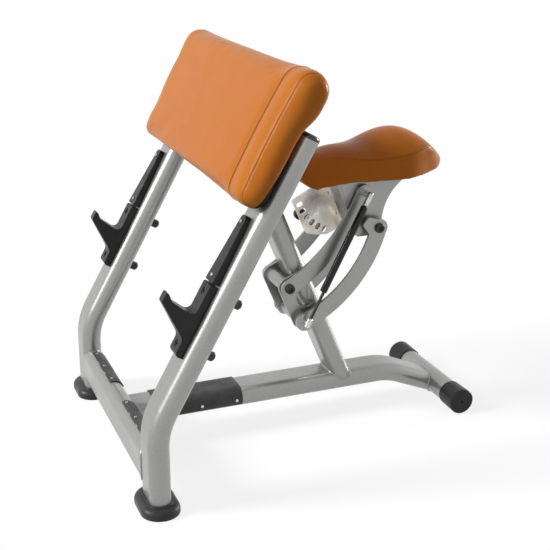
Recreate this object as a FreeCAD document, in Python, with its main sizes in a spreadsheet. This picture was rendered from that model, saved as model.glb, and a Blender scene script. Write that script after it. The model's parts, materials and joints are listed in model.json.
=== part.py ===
import FreeCAD, Part
import math
import os
import types
import Sketcher

# Preacher curl bench: flat-oval tube frame, arm pad, bar hooks and a seat on a parallel-arm lift.
# Frame: +Z up from the floor, X across the bench, +Y from the uprights back towards the seat.
# Lengths are in millimetres and angles in degrees. Y values below start at the uprights' axis.
SIZES = [
    # Flat-oval tube stock
    ("tube_wide", 100), ("tube_thick", 50), ("tube_wall", 3), ("cope_relief", 7), ("overrun", 20),
    # Uprights
    ("upright_spacing", 650), ("upright_lean", 29.4), ("bend_height", 199), ("bend_radius", 170),
    ("upright_reach", 708),
    # Front beam, spine and rear tube
    ("beam_height", 88), ("spine_height", 86), ("spine_bend_y", 727), ("spine_drop", 22.5),
    ("spine_bend_radius", 180), ("spine_end_gap", 5), ("rear_tube_y", 872), ("rear_tube_dia", 60),
    ("rear_tube_wall", 3), ("rear_tube_length", 344),
    # Seat post
    ("post_foot_y", 594), ("post_lean", 22.8),
    # Feet and end caps
    ("foot_floor", 6), ("foot_height", 26), ("foot_flange", 20), ("foot_round", 15), ("foot_lip", 4),
    ("foot_collar", 3), ("socket_fit", 0.2), ("cap_height", 11), ("cap_plug", 22), ("cap_edge", 9),
    ("rear_cap_dia", 68), ("rear_cap_mouth", 65), ("rear_cap_length", 64), ("rear_cap_end", 5),
    ("rear_cap_vent", 5), ("rear_cap_edge", 3),
    # Foot grips and spine tread
    ("grip_start", 60), ("grip_length", 194), ("grip_thick", 3), ("grip_front_angle", 18),
    ("grip_back_angle", 75), ("grip_scallop_dia", 70), ("grip_scallop_depth", 2.5),
    ("grip_screw_inset", 14), ("tread_start", 82), ("tread_length", 223), ("tread_thick", 3),
    ("tread_wrap", 30), ("tread_screw_inset", 16), ("tread_screw_pitch", 92),
    # Trim screws
    ("screw_head_dia", 8), ("screw_head_height", 2.6), ("screw_shank_dia", 4.2), ("screw_length", 12),
    ("grip_screw_head", 6), ("screw_socket", 3), ("screw_socket_depth", 1.4), ("screw_fit", 0.2),
    # Bar hooks and their bolts
    ("hook_bottom", 168), ("hook_top", 340), ("hook_width", 44), ("hook_tip_width", 22),
    ("hook_taper_start", 8), ("hook_thick", 19),
    ("hook_reach", 97), ("hook_tip_thick", 19), ("hook_tip_side", 22), ("hook_tip_round", 5),
    ("hook_tip_rise", 12), ("hook_tip_flat", 7), ("hook_end_round", 10),
    ("hook_seat", 264), ("hook_seat_slope", 10), ("hook_cradle", 14), ("hook_root", 208),
    ("hook_bolt_low", 192), ("hook_bolt_high", 320), ("hook_bolt_dia", 10), ("hook_head_dia", 16),
    ("hook_head_height", 7), ("hook_socket", 8), ("hook_socket_depth", 4), ("hook_bore_depth", 8),
    ("hook_nut_dia", 22), ("hook_nut_height", 29), ("hook_washer_dia", 24), ("hook_washer_height", 2.5),
    ("bolt_fit", 0.4),
    # Guard strips
    ("strip_gap", 4), ("strip_length", 160), ("strip_foot_width", 44), ("strip_tip_width", 24),
    ("strip_foot_thick", 18), ("strip_tip_thick", 13), ("strip_edge", 3), ("strip_screw_inset", 15),
    # Arm pad, its board and bolts
    ("pad_width", 790), ("pad_bottom", 524), ("pad_top", 838), ("pad_face", 67), ("pad_back", 12),
    ("pad_end_round", 40), ("pad_crown", 3), ("pad_bottom_round", 24), ("pad_clear", 0.3),
    ("board_thick", 12), ("board_margin", 22), ("board_end_margin", 50), ("board_corner", 15),
    ("board_top_margin", 20), ("pad_bolt_pitch", 300), ("pad_bolt_rise", 60), ("pad_bolt_dia", 8),
    ("pad_bolt_head", 16), ("pad_bolt_head_height", 5), ("pad_bolt_grip", 6), ("pad_bolt_socket", 6),
    # Lift linkage
    ("pivot_front", 44.4), ("pivot_rise", 232), ("pivot_spacing", 98), ("arm_length", 300),
    ("arm_angle", 48.5), ("arm_thick", 8), ("upper_arm_end", 42), ("lower_arm_end", 46),
    ("upper_arm_width", 41), ("lower_arm_width", 43), ("upper_arm_bow", 24), ("lower_arm_bow", 35),
    ("nose_reach", 46), ("nose_drop", 12), ("nose_depth", 30), ("nose_corner", 9),
    ("link_plate", 6), ("spacer_thick", 4), ("spacer_dia", 40), ("arm_gap", 2),
    ("bracket_corner", 24), ("bracket_back", 50), ("notch_start", 8), ("notch_high", 50), ("notch_round", 22),
    ("shaft_dia", 16), ("running_fit", 0.1), ("sleeve_dia", 34), ("pivot_head_dia", 25),
    ("pivot_head_height", 7), ("pivot_socket", 12), ("pivot_socket_depth", 4),
    # Seat carriage
    ("web_front", 55), ("web_thick", 6), ("carriage_drop", 24), ("carriage_back", 112),
    ("carriage_waist", 26), ("carriage_corner", 8), ("seat_plate_thick", 6), ("seat_plate_rise", 32),
    # Selector plate and pull pin
    ("selector_thick", 3), ("selector_radius", 132), ("selector_pitch", 8.94), ("selector_slot", 18),
    ("selector_hole", 12), ("selector_edge", 24), ("selector_gap", 1.5), ("selector_flange", 52),
    ("selector_corner", 5), ("selector_bolt_dia", 8), ("selector_bolt_head", 14),
    ("selector_bolt_head_height", 5), ("selector_bolt_inset", 28),
    ("pin_dia", 7), ("pin_clear", 1), ("pin_travel", 12), ("pin_collar_dia", 17), ("pin_collar_thick", 4),
    ("housing_dia", 26), ("housing_length", 36), ("housing_wall", 3), ("housing_floor", 6),
    ("ear_dia", 32), ("knob_dia", 32), ("knob_length", 30), ("knob_neck_dia", 18), ("knob_neck", 8),
    ("knob_socket", 16), ("knob_edge", 5),
    # Gas spring
    ("gas_offset", 95), ("gas_tube_dia", 18), ("gas_tube_wall", 1.4), ("gas_tube_length", 235),
    ("gas_head_gap", 28), ("gas_rod_dia", 8), ("gas_rod_inside", 110), ("gas_skew", 0.3),
    ("stud_dia", 8), ("stud_collar_dia", 15), ("stud_collar_gap", 2), ("fitting_dia", 15),
    ("fitting_length", 26), ("fitting_nose", 9),
    # Seat, its board and bolts
    ("seat_length", 400), ("seat_width", 238), ("seat_front", 163), ("seat_height", 110), ("seat_droop", 12),
    ("seat_board_thick", 11.5), ("seat_board_front", 40), ("seat_board_length", 265),
    ("seat_board_narrow", 132), ("seat_board_wide", 164), ("seat_board_corner", 45),
    ("seat_bolt_dia", 8), ("seat_bolt_head", 16), ("seat_bolt_head_height", 5), ("seat_bolt_grip", 6),
    ("seat_bolt_across", 56), ("seat_bolt_front", 20), ("seat_bolt_pitch", 92), ("seat_bolt_socket", 6),
]

# Seat sections from nose to tail: place along the length, half widths at the foot and at the crease,
# underside lift, crease height and crown height
SEAT_SHARES = [
    (0.000, 0.530, 0.250, 0.010, 0.200, 0.340),
    (0.013, 0.700, 0.330, -0.030, 0.270, 0.430),
    (0.038, 0.820, 0.360, -0.070, 0.340, 0.490),
    (0.098, 0.830, 0.410, -0.060, 0.420, 0.540),
    (0.185, 0.840, 0.470, -0.030, 0.490, 0.590),
    (0.260, 0.860, 0.570, 0.000, 0.500, 0.640),
    (0.347, 0.880, 0.700, 0.000, 0.475, 0.655),
    (0.448, 0.920, 0.840, 0.000, 0.475, 0.700),
    (0.572, 0.965, 0.950, 0.000, 0.520, 0.900),
    (0.660, 0.950, 0.930, 0.000, 0.555, 0.970),
    (0.760, 0.810, 0.800, 0.000, 0.620, 0.905),
    (0.848, 0.610, 0.650, 0.000, 0.580, 0.725),
    (0.922, 0.450, 0.430, 0.010, 0.410, 0.490),
    (0.970, 0.280, 0.260, 0.050, 0.280, 0.330),
    (1.000, 0.130, 0.120, 0.110, 0.180, 0.210),
]
SEAT_SIDE_BULGE_SHARE = 0.03
SEAT_FLAT_SHARE = 0.25
# Arm pad end sections: place across the end round and inset, both as shares of that round
PAD_END_SHARES = [(0.00, 0.00), (0.50, 0.14), (0.87, 0.45), (1.00, 0.72)]
PAD_MIDDLE_SHARES = [-0.9, -0.6, -0.3, 0.0, 0.3, 0.6, 0.9]
PAD_BULGE_START_SHARE = 0.53
PAD_BULGE_FULL_SHARE = 0.785
PAD_REAR_INSET_SHARE = 0.5
SCALLOP_SHARES = [0.33, 0.67]
STRIP_HEAD_ROUND_SHARE = 0.8
# Selector plate edge: radius as a share of the hole circle's, place in hole pitches, corner size
SELECTOR_EDGE_SHARES = [(1.13, -3.84, 1.0), (1.245, 0.22, 2.0), (1.163, 1.43, 4.0), (1.08, 2.65, 4.0),
                        (0.97, 3.6, 2.0)]
SELECTOR_HOLES_BELOW = 3
SELECTOR_HOLES_ABOVE = 2

V = FreeCAD.Vector
X_AXIS = V(1, 0, 0)
Y_AXIS = V(0, 1, 0)
Z_AXIS = V(0, 0, 1)
LEFT = 1
RIGHT = -1

doc = FreeCAD.newDocument("preacher_curl_bench")
sheet = doc.addObject("Spreadsheet::Sheet", "sizes")
for number, (alias, amount_set) in enumerate(SIZES, start=1):
    sheet.set("A%d" % number, alias)
    sheet.set("B%d" % number, str(amount_set))
    sheet.setAlias("B%d" % number, alias)
doc.recompute()
d = types.SimpleNamespace(**{alias: float(sheet.get(alias)) for alias, _ in SIZES})

subparts = []


def total(text):
    """Value of a sum of sheet names, such as 'pin_dia + running_fit'."""
    result = 0.0
    sign = 1
    for word in text.split():
        if word in "+-":
            sign = 1 if word == "+" else -1
        else:
            result += sign * getattr(d, word)
    return result


def bound(text):
    """The same sum as an expression on the sheet."""
    return " ".join(word if word in "+-" else "sizes." + word for word in text.split())


def bind(thing, name, text):
    setattr(thing, name, total(text))
    thing.setExpression(name, bound(text))


def keep(thing, label):
    """Mark a document object as a finished sub-part."""
    thing.Label = label
    subparts.append(thing)
    return thing


# Places shared by many pieces
lean = math.radians(d.upright_lean)
post_lean = math.radians(d.post_lean)
half_spacing = d.upright_spacing / 2
rear_height = d.rear_cap_dia / 2
mid_y = (d.rear_tube_y + d.rear_cap_dia / 2 - d.tube_thick / 2 - d.foot_flange) / 2
post_up = V(0, -math.sin(post_lean), math.cos(post_lean))
post_ahead = V(0, -math.cos(post_lean), -math.sin(post_lean))
post_foot = V(0, d.post_foot_y, d.spine_height)
P2 = post_foot + post_up * d.pivot_rise + post_ahead * d.pivot_front
P1 = P2 + post_up * d.pivot_spacing
arm_tilt = math.radians(d.arm_angle)
arm_way = V(0, math.cos(arm_tilt), math.sin(arm_tilt))
arm_below = V(0, math.sin(arm_tilt), -math.cos(arm_tilt))
Q1 = P1 + arm_way * d.arm_length
Q2 = P2 + arm_way * d.arm_length
pin_spot = Q1 - arm_way * d.selector_radius
plate_outside = d.tube_wide / 2 + d.link_plate
upper_arm_inside = plate_outside + d.spacer_thick
upper_arm_outside = upper_arm_inside + d.arm_thick
lower_arm_inside = upper_arm_outside + d.arm_gap
lower_arm_outside = lower_arm_inside + d.arm_thick
# Along the lean of the uprights, where the seat post meets their plane
meet_height = (d.post_foot_y + d.spine_height * math.tan(post_lean) + d.bend_height * math.tan(lean)) / (
    math.tan(lean) + math.tan(post_lean))
crossbar_s = (meet_height - d.bend_height) / math.cos(lean)
post_length = (meet_height - d.spine_height) / math.cos(post_lean)
tube_face = d.tube_thick / 2


def world(x=0.0, turn=None):
    """Placement of a piece drawn in bench coordinates, at a station across the bench."""
    return FreeCAD.Placement(V(x, -mid_y, 0), turn or FreeCAD.Rotation())


def along_upright(x, s=0.0, n=0.0):
    """Placement whose Z runs up the leaning upright and whose -Y faces the lifter's bar."""
    turn = FreeCAD.Rotation(X_AXIS, -d.upright_lean)
    start = V(x, -mid_y, d.bend_height)
    return FreeCAD.Placement(start + turn.multVec(V(0, -n, s)), turn)


def facing(point, way):
    """Placement at a bench point with Z along the given way."""
    return FreeCAD.Placement(point - V(0, mid_y, 0), FreeCAD.Rotation(Z_AXIS, way))


def facing_on_upright(x, s, n, way):
    place = along_upright(x, s, n)
    return place.multiply(FreeCAD.Placement(V(0, 0, 0), FreeCAD.Rotation(Z_AXIS, way)))


def new_body(name, place=None):
    body = doc.addObject("PartDesign::Body", name)
    body.Placement = place or world()
    return body


def plane_sketch(body, role, rise=0.0):
    sketch = body.newObject("Sketcher::SketchObject", body.Name + "_sketch")
    plane = next(item for item in body.Origin.OriginFeatures if item.Role == role)
    sketch.AttachmentSupport = [(plane, "")]
    sketch.MapMode = "FlatFace"
    sketch.AttachmentOffset = FreeCAD.Placement(V(0, 0, rise), FreeCAD.Rotation())
    return sketch


def stadium(sketch, wide, thick, upright=False, x=0.0, y=0.0):
    """A flat oval, constrained to the sheet, with its long side across or upright."""
    radius = total(thick) / 2
    straight = total(wide) / 2 - radius

    def at(along, aside):
        return V(x - aside, y + along, 0) if upright else V(x + along, y + aside, 0)

    first = sketch.addGeometry(Part.LineSegment(at(-straight, radius), at(straight, radius)))
    sketch.addGeometry(Part.Arc(at(straight, radius), at(straight + radius, 0), at(straight, -radius)))
    sketch.addGeometry(Part.LineSegment(at(straight, -radius), at(-straight, -radius)))
    sketch.addGeometry(Part.Arc(at(-straight, -radius), at(-straight - radius, 0), at(-straight, radius)))
    row = sketch.addConstraint(Sketcher.Constraint("Distance", first, total(wide) - total(thick)))
    sketch.setExpression("Constraints[%d]" % row, "(%s) - (%s)" % (bound(wide), bound(thick)))
    for arc in (first + 1, first + 3):
        row = sketch.addConstraint(Sketcher.Constraint("Radius", arc, radius))
        sketch.setExpression("Constraints[%d]" % row, "(%s) / 2" % bound(thick))


def circle(sketch, x, y, dia):
    ring = sketch.addGeometry(Part.Circle(V(x, y, 0), Z_AXIS, total(dia) / 2))
    row = sketch.addConstraint(Sketcher.Constraint("Diameter", ring, total(dia)))
    sketch.setExpression("Constraints[%d]" % row, bound(dia))


def chain(sketch, start, steps):
    """Joined lines and arcs: a step is an end point, or a middle point and an end point."""
    here = V(start[0], start[1], 0)
    for step in steps:
        if isinstance(step[0], tuple):
            middle = V(step[0][0], step[0][1], 0)
            there = V(step[1][0], step[1][1], 0)
            sketch.addGeometry(Part.Arc(here, middle, there))
        else:
            there = V(step[0], step[1], 0)
            sketch.addGeometry(Part.LineSegment(here, there))
        here = there


def rounded(sketch, corners):
    """A closed outline of straight sides whose corners (x, y, radius) are rounded."""
    count = len(corners)
    starts = []
    ends = []
    middles = []
    for k in range(count):
        x, y, radius = corners[k]
        here = V(x, y, 0)
        before = (V(corners[k - 1][0], corners[k - 1][1], 0) - here).normalize()
        after_x, after_y, _ = corners[(k + 1) % count]
        after = (V(after_x, after_y, 0) - here).normalize()
        half_turn = before.getAngle(after) / 2
        reach = radius / math.tan(half_turn)
        inward = (before + after).normalize()
        starts.append(here + before * reach)
        ends.append(here + after * reach)
        middles.append(here + inward * (radius / math.sin(half_turn) - radius))
    for k in range(count):
        if corners[k][2] > 0:
            sketch.addGeometry(Part.Arc(starts[k], middles[k], ends[k]))
        sketch.addGeometry(Part.LineSegment(ends[k], starts[(k + 1) % count]))


def pad(body, sketch, length, way="One side", flip=False):
    feature = body.newObject("PartDesign::Pad", body.Name + "_pad")
    feature.Profile = sketch
    feature.SideType = way
    feature.Reversed = flip
    bind(feature, "Length", length)
    return feature


def pocket(body, sketch, depth=None):
    """A cut of the given depth, or through everything both ways."""
    feature = body.newObject("PartDesign::Pocket", body.Name + "_pocket")
    feature.Profile = sketch
    if depth is None:
        feature.Type = "ThroughAll"
        feature.SideType = "Symmetric"
    else:
        bind(feature, "Length", depth)
    return feature


def sweep(body, profile, path, edges):
    pipe = body.newObject("PartDesign::AdditivePipe", body.Name + "_pipe")
    pipe.Profile = profile
    pipe.Spine = (path, ["Edge%d" % (k + 1) for k in range(edges)])
    return pipe


def turned(name, outline, place=None):
    """A body turned about its own Z from a closed outline of (radius, height) points."""
    body = new_body(name, place)
    sketch = plane_sketch(body, "XZ_Plane")
    chain(sketch, outline[0], outline[1:] + [outline[0]])
    feature = body.newObject("PartDesign::Revolution", name + "_turn")
    feature.Profile = sketch
    feature.ReferenceAxis = (sketch, ["V_Axis"])
    feature.Angle = 360
    return body


def hex_socket(body, across, depth, top):
    sketch = plane_sketch(body, "XY_Plane", top)
    radius = total(across) / math.sqrt(3)
    points = [(radius * math.cos(k * math.pi / 3), radius * math.sin(k * math.pi / 3)) for k in range(6)]
    chain(sketch, points[0], points[1:] + [points[0]])
    pocket(body, sketch, depth)


def headed(name, head_dia, head_height, shank_dia, shank, socket, socket_depth):
    """A socket-headed fastener: its head sits on Z = 0 and its shank points down."""
    edge = total(head_height) / 4
    r_head = total(head_dia) / 2
    r_shank = total(shank_dia) / 2
    top = total(head_height)
    body = turned(name, [(0, -shank), (r_shank, -shank), (r_shank, 0), (r_head, 0), (r_head, top - edge),
                         (r_head - edge, top), (0, top)], FreeCAD.Placement())
    hex_socket(body, socket, socket_depth, top)
    return body


def group(label, *sets):
    """Copies of one or more small pieces, as separate solids of one sub-part."""
    doc.recompute()
    feature = doc.addObject("Part::Feature", label)
    solids = []
    for master, places in sets:
        for place in places:
            solid = master.Shape.copy()
            solid.Placement = place
            solids.append(solid)
    feature.Shape = Part.makeCompound(solids)
    return keep(feature, label)


def cylinder(name, dia, place, length):
    """A bare cylinder used to cut with, running down from its place."""
    tool = doc.addObject("Part::Cylinder", name)
    tool.Radius = total(dia) / 2
    tool.setExpression("Radius", "(%s) / 2" % bound(dia))
    tool.Height = length
    tool.Placement = place.multiply(FreeCAD.Placement(V(0, 0, -length), FreeCAD.Rotation()))
    return tool


def cut(name, base, tools):
    tool = tools[0]
    if len(tools) > 1:
        tool = doc.addObject("Part::Compound", name + "_tools")
        tool.Links = tools
    result = doc.addObject("Part::Cut", name)
    result.Base = base
    result.Tool = tool
    return result


def drilled(name, base, places, dia, depth):
    """The base with one hole at each place, started an overrun above it."""
    tools = []
    for k, place in enumerate(places):
        lifted = place.multiply(FreeCAD.Placement(V(0, 0, d.overrun), FreeCAD.Rotation()))
        tools.append(cylinder("%s_bore%d" % (name, k), dia, lifted, depth + d.overrun))
    return cut(name, base, tools)


def tube_section(sketch, upright=False, x=0.0, y=0.0):
    stadium(sketch, "tube_wide", "tube_thick", upright, x, y)
    stadium(sketch, "tube_wide - tube_wall - tube_wall", "tube_thick - tube_wall - tube_wall", upright, x, y)


# Fastener places that two or more pieces share
def strip_screw_places(side):
    foot = d.hook_top + d.strip_gap
    square = V(0, -d.strip_length, d.strip_foot_thick - d.strip_tip_thick)
    stations = [(foot + d.strip_screw_inset, 0.0), (foot + d.strip_length - d.strip_screw_inset, 1.0)]
    places = []
    for s, end in stations:
        share = d.strip_screw_inset / d.strip_length
        share = share if end == 0.0 else 1 - share
        face = tube_face + d.strip_foot_thick + (d.strip_tip_thick - d.strip_foot_thick) * share
        places.append(facing_on_upright(side * half_spacing, s, face, square))
    return places


def hook_bolt_places(side):
    bottom = tube_face + d.hook_thick - d.hook_bore_depth
    return [facing_on_upright(side * half_spacing, s, bottom, V(0, -1, 0))
            for s in (d.hook_bolt_low, d.hook_bolt_high)]


def hook_nut_places(side):
    return [facing_on_upright(side * half_spacing, s, -tube_face, V(0, 1, 0))
            for s in (d.hook_bolt_low, d.hook_bolt_high)]


def grip_screw_places(side):
    crest = d.beam_height + d.tube_wide / 2 + d.grip_thick
    first = d.grip_start + d.grip_screw_inset
    pitch = (d.grip_length - 2 * d.grip_screw_inset) / 2
    return [facing(V(side * (first + k * pitch), 0, crest), Z_AXIS) for k in range(3)]


def tread_screw_places():
    last = d.tread_start + d.tread_length - d.tread_screw_inset
    return [facing(V(side * (d.tube_wide / 2 + d.tread_thick), y, d.spine_height), V(side, 0, 0))
            for side in (LEFT, RIGHT) for y in (last - d.tread_screw_pitch, last)]


def pad_bolt_places():
    places = []
    for side in (LEFT, RIGHT):
        for s in (crossbar_s - d.pad_bolt_rise / 2, crossbar_s + d.pad_bolt_rise / 2):
            places.append(facing_on_upright(side * d.pad_bolt_pitch / 2, s, -tube_face, V(0, 1, 0)))
    return places


# Welded frame
def make_upright(side, label):
    tangent = d.bend_radius * math.tan(lean / 2)
    up = (math.sin(lean), math.cos(lean))
    bend_end = (up[0] * tangent, d.bend_height + up[1] * tangent)
    bend_middle = (d.bend_radius * (1 - math.cos(lean / 2)),
                   d.bend_height - tangent + d.bend_radius * math.sin(lean / 2))
    top = (up[0] * d.upright_reach, d.bend_height + up[1] * d.upright_reach)
    body = new_body(label + "_tube", world(side * half_spacing))
    path = plane_sketch(body, "YZ_Plane")
    chain(path, (0, d.foot_floor), [(0, d.bend_height - tangent), (bend_middle, bend_end), top])
    profile = plane_sketch(body, "XY_Plane", d.foot_floor)
    tube_section(profile)
    sweep(body, profile, path, 3)
    pierced = drilled(label + "_pierced", body, hook_nut_places(side), "hook_bolt_dia + bolt_fit",
                      d.tube_thick + d.overrun)
    reach = d.strip_foot_thick + d.tube_wall + d.tube_wall
    keep(drilled(label, pierced, strip_screw_places(side), "screw_shank_dia + screw_fit", reach), label)


def make_cross_tube(name, place):
    """A tube between the uprights, its ends coped round them."""
    body = new_body(name, place)
    section = plane_sketch(body, "YZ_Plane")
    tube_section(section, upright=True)
    blank = pad(body, section, "upright_spacing - tube_thick - cope_relief - cope_relief", "Symmetric")
    doc.recompute()
    before = blank.Shape.Volume
    cope = plane_sketch(body, "XY_Plane")
    for side in (LEFT, RIGHT):
        stadium(cope, "tube_wide", "tube_thick", x=side * half_spacing)
    pocket(body, cope)
    doc.recompute()
    if not body.Shape.Volume < before:
        raise RuntimeError("coping took nothing off " + name)
    return body


def make_beam_and_crossbar():
    place = world()
    place.Base.z = d.beam_height
    screws = grip_screw_places(LEFT) + grip_screw_places(RIGHT)
    beam = make_cross_tube("beam_tube", place)
    keep(drilled("front_crossbeam", beam, screws, "screw_shank_dia + screw_fit", d.screw_length),
         "front_crossbeam")
    bar = make_cross_tube("crossbar_tube", along_upright(0, crossbar_s))
    keep(drilled("pad_crossbar", bar, pad_bolt_places(), "pad_bolt_dia + bolt_fit", d.tube_thick + d.overrun),
         "pad_crossbar")


def make_spine():
    drop = math.radians(d.spine_drop)
    tangent = d.spine_bend_radius * math.tan(drop / 2)
    bend_start = (d.spine_bend_y - tangent, d.spine_height)
    bend_middle = (bend_start[0] + d.spine_bend_radius * math.sin(drop / 2),
                   d.spine_height - d.spine_bend_radius * (1 - math.cos(drop / 2)))
    bend_end = (d.spine_bend_y + tangent * math.cos(drop), d.spine_height - tangent * math.sin(drop))
    run = d.rear_tube_y - d.spine_end_gap - d.spine_bend_y
    end = (d.spine_bend_y + run, d.spine_height - run * math.tan(drop))
    body = new_body("spine_tube")
    path = plane_sketch(body, "YZ_Plane")
    chain(path, (0, d.spine_height), [bend_start, (bend_middle, bend_end), end])
    profile = plane_sketch(body, "XZ_Plane")
    tube_section(profile, y=d.spine_height)
    sweep(body, profile, path, 3)
    cope = plane_sketch(body, "YZ_Plane")
    stadium(cope, "tube_wide", "tube_thick", upright=True, y=d.beam_height)
    circle(cope, d.rear_tube_y, rear_height, "rear_tube_dia")
    pocket(body, cope)
    keep(drilled("spine_beam", body, tread_screw_places(), "screw_shank_dia + screw_fit",
                 d.tread_thick + d.tube_wall + d.tube_wall), "spine_beam")


def make_rear_tube():
    outer = d.rear_tube_dia / 2
    inner = outer - d.rear_tube_wall
    half = d.rear_tube_length / 2
    place = facing(V(0, d.rear_tube_y, rear_height), X_AXIS)
    keep(turned("rear_cross_tube", [(inner, -half), (outer, -half), (outer, half), (inner, half)], place),
         "rear_cross_tube")


def make_seat_post():
    place = facing(post_foot, post_up)
    body = new_body("post_tube", FreeCAD.Placement(place.Base, FreeCAD.Rotation(X_AXIS, d.post_lean)))
    section = plane_sketch(body, "XY_Plane", d.cope_relief)
    tube_section(section)
    feature = pad(body, section, "pivot_rise")
    feature.clearExpression("Length")
    feature.Length = post_length - d.cope_relief
    spine_core = new_body("spine_core")
    core_section = plane_sketch(spine_core, "XZ_Plane")
    stadium(core_section, "tube_wide", "tube_thick", y=d.spine_height)
    pad(spine_core, core_section, "post_foot_y + tube_wide", flip=True)
    bar_core = new_body("crossbar_core", along_upright(0, crossbar_s))
    bar_section = plane_sketch(bar_core, "YZ_Plane")
    stadium(bar_section, "tube_wide", "tube_thick", upright=True)
    pad(bar_core, bar_section, "tube_wide + tube_wide", "Symmetric")
    keep(cut("seat_post", body, [spine_core, bar_core]), "seat_post")


# Feet and caps
def round_top(body, feature, radius):
    """Round the edge of a pad's top face."""
    doc.recompute()
    top = max(range(len(feature.Shape.Faces)), key=lambda k: feature.Shape.Faces[k].CenterOfMass.z)
    fillet = body.newObject("PartDesign::Fillet", body.Name + "_fillet")
    fillet.Base = (feature, ["Face%d" % (top + 1)])
    bind(fillet, "Radius", radius)


def make_foot(side, label):
    body = new_body(label, world(side * half_spacing))
    flange = plane_sketch(body, "XY_Plane")
    stadium(flange, "tube_wide + foot_flange + foot_flange", "tube_thick + foot_flange + foot_flange")
    round_top(body, pad(body, flange, "foot_height - foot_collar"), "foot_round")
    collar = plane_sketch(body, "XY_Plane", d.foot_height - d.foot_collar)
    stadium(collar, "tube_wide + foot_lip + foot_lip", "tube_thick + foot_lip + foot_lip")
    pad(body, collar, "foot_collar")
    hollow = plane_sketch(body, "XY_Plane", d.foot_height)
    stadium(hollow, "tube_wide + socket_fit", "tube_thick + socket_fit")
    pocket(body, hollow, "foot_height - foot_floor")
    keep(body, label)


def make_upright_cap(side, label):
    body = new_body(label, along_upright(side * half_spacing, d.upright_reach))
    plug = plane_sketch(body, "XY_Plane", -d.cap_plug)
    inside = "- tube_wall - tube_wall - socket_fit"
    stadium(plug, "tube_wide " + inside, "tube_thick " + inside)
    pad(body, plug, "cap_plug")
    lid = plane_sketch(body, "XY_Plane")
    stadium(lid, "tube_wide", "tube_thick")
    round_top(body, pad(body, lid, "cap_height"), "cap_edge")
    keep(body, label)


def make_rear_cap(side, label):
    """A rubber cup on the rear tube's end, with a vent in its floor."""
    end = d.rear_cap_end
    bore = (d.rear_tube_dia + d.socket_fit) / 2
    wide = d.rear_cap_dia / 2
    vent = d.rear_cap_vent / 2
    mouth = d.rear_cap_mouth / 2
    edge = d.rear_cap_edge
    base = end - d.rear_cap_length
    outline = [(vent, 0), (bore, 0), (bore, base), (mouth, base), (wide, 0), (wide, end - edge),
               (wide - edge, end), (vent, end)]
    place = facing(V(side * d.rear_tube_length / 2, d.rear_tube_y, rear_height), V(side, 0, 0))
    keep(turned(label, outline, place), label)


# Trim on the frame
def make_grip(side, label):
    """A curved rubber-faced tread on the crest of the front beam, its front edge scalloped."""
    inner = tube_face
    outer = tube_face + d.grip_thick
    front = math.radians(d.grip_front_angle)
    back = math.radians(d.grip_back_angle)
    centre = d.beam_height + (d.tube_wide - d.tube_thick) / 2

    def at(radius, angle):
        return (-radius * math.sin(angle), centre + radius * math.cos(angle))

    place = world(side * (d.grip_start + d.grip_length / 2))
    body = new_body(label + "_shell", place)
    section = plane_sketch(body, "YZ_Plane")
    middle = (front - back) / 2
    chain(section, at(inner, front), [at(outer, front), (at(outer, middle), at(outer, -back)),
                                      at(inner, -back), (at(inner, middle), at(inner, front))])
    pad(body, section, "grip_length", "Symmetric")
    scallops = plane_sketch(body, "XY_Plane")
    radius = d.grip_scallop_dia / 2
    edge_y = -inner * math.sin(front)
    for share in SCALLOP_SHARES:
        circle(scallops, (share - 1 / 2) * d.grip_length, edge_y + d.grip_scallop_depth - radius,
               "grip_scallop_dia")
    pocket(body, scallops)
    keep(drilled(label, body, grip_screw_places(side), "screw_shank_dia + screw_fit", d.screw_length), label)


def make_tread():
    """A guard wrapped over the top and sides of the spine."""
    wrap = math.radians(d.tread_wrap)
    straight = (d.tube_wide - d.tube_thick) / 2
    inner = tube_face
    outer = tube_face + d.tread_thick

    def at(side, radius, angle):
        return (side * (straight + radius * math.cos(angle)), d.spine_height + radius * math.sin(angle))

    quarter = math.pi / 2
    turn = (quarter - wrap) / 2
    body = new_body("tread_shell", FreeCAD.Placement(V(0, d.tread_start - mid_y, 0), FreeCAD.Rotation()))
    section = plane_sketch(body, "XZ_Plane")
    chain(section, at(LEFT, inner, -wrap), [
        at(LEFT, outer, -wrap), (at(LEFT, outer, turn), at(LEFT, outer, quarter)), at(RIGHT, outer, quarter),
        (at(RIGHT, outer, turn), at(RIGHT, outer, -wrap)), at(RIGHT, inner, -wrap),
        (at(RIGHT, inner, turn), at(RIGHT, inner, quarter)), at(LEFT, inner, quarter),
        (at(LEFT, inner, turn), at(LEFT, inner, -wrap))])
    pad(body, section, "tread_length", flip=True)
    keep(drilled("spine_tread", body, tread_screw_places(), "screw_shank_dia + screw_fit",
                 d.tread_thick + d.tube_wall), "spine_tread")


def make_trim_screws():
    def screw(name, shank, head="screw_head_dia"):
        return headed(name, head, "screw_head_height", "screw_shank_dia", shank,
                      "screw_socket", "screw_socket_depth")

    grip_screw = screw("grip_screw", d.screw_length, "grip_screw_head")
    tread_screw = screw("tread_screw", d.tread_thick + d.tube_wall + d.tube_wall / 2)
    strip_screw = screw("strip_screw", d.strip_foot_thick + d.tube_wall)
    group("trim_screws", (grip_screw, grip_screw_places(LEFT) + grip_screw_places(RIGHT)),
          (tread_screw, tread_screw_places()),
          (strip_screw, strip_screw_places(LEFT) + strip_screw_places(RIGHT)))


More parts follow.
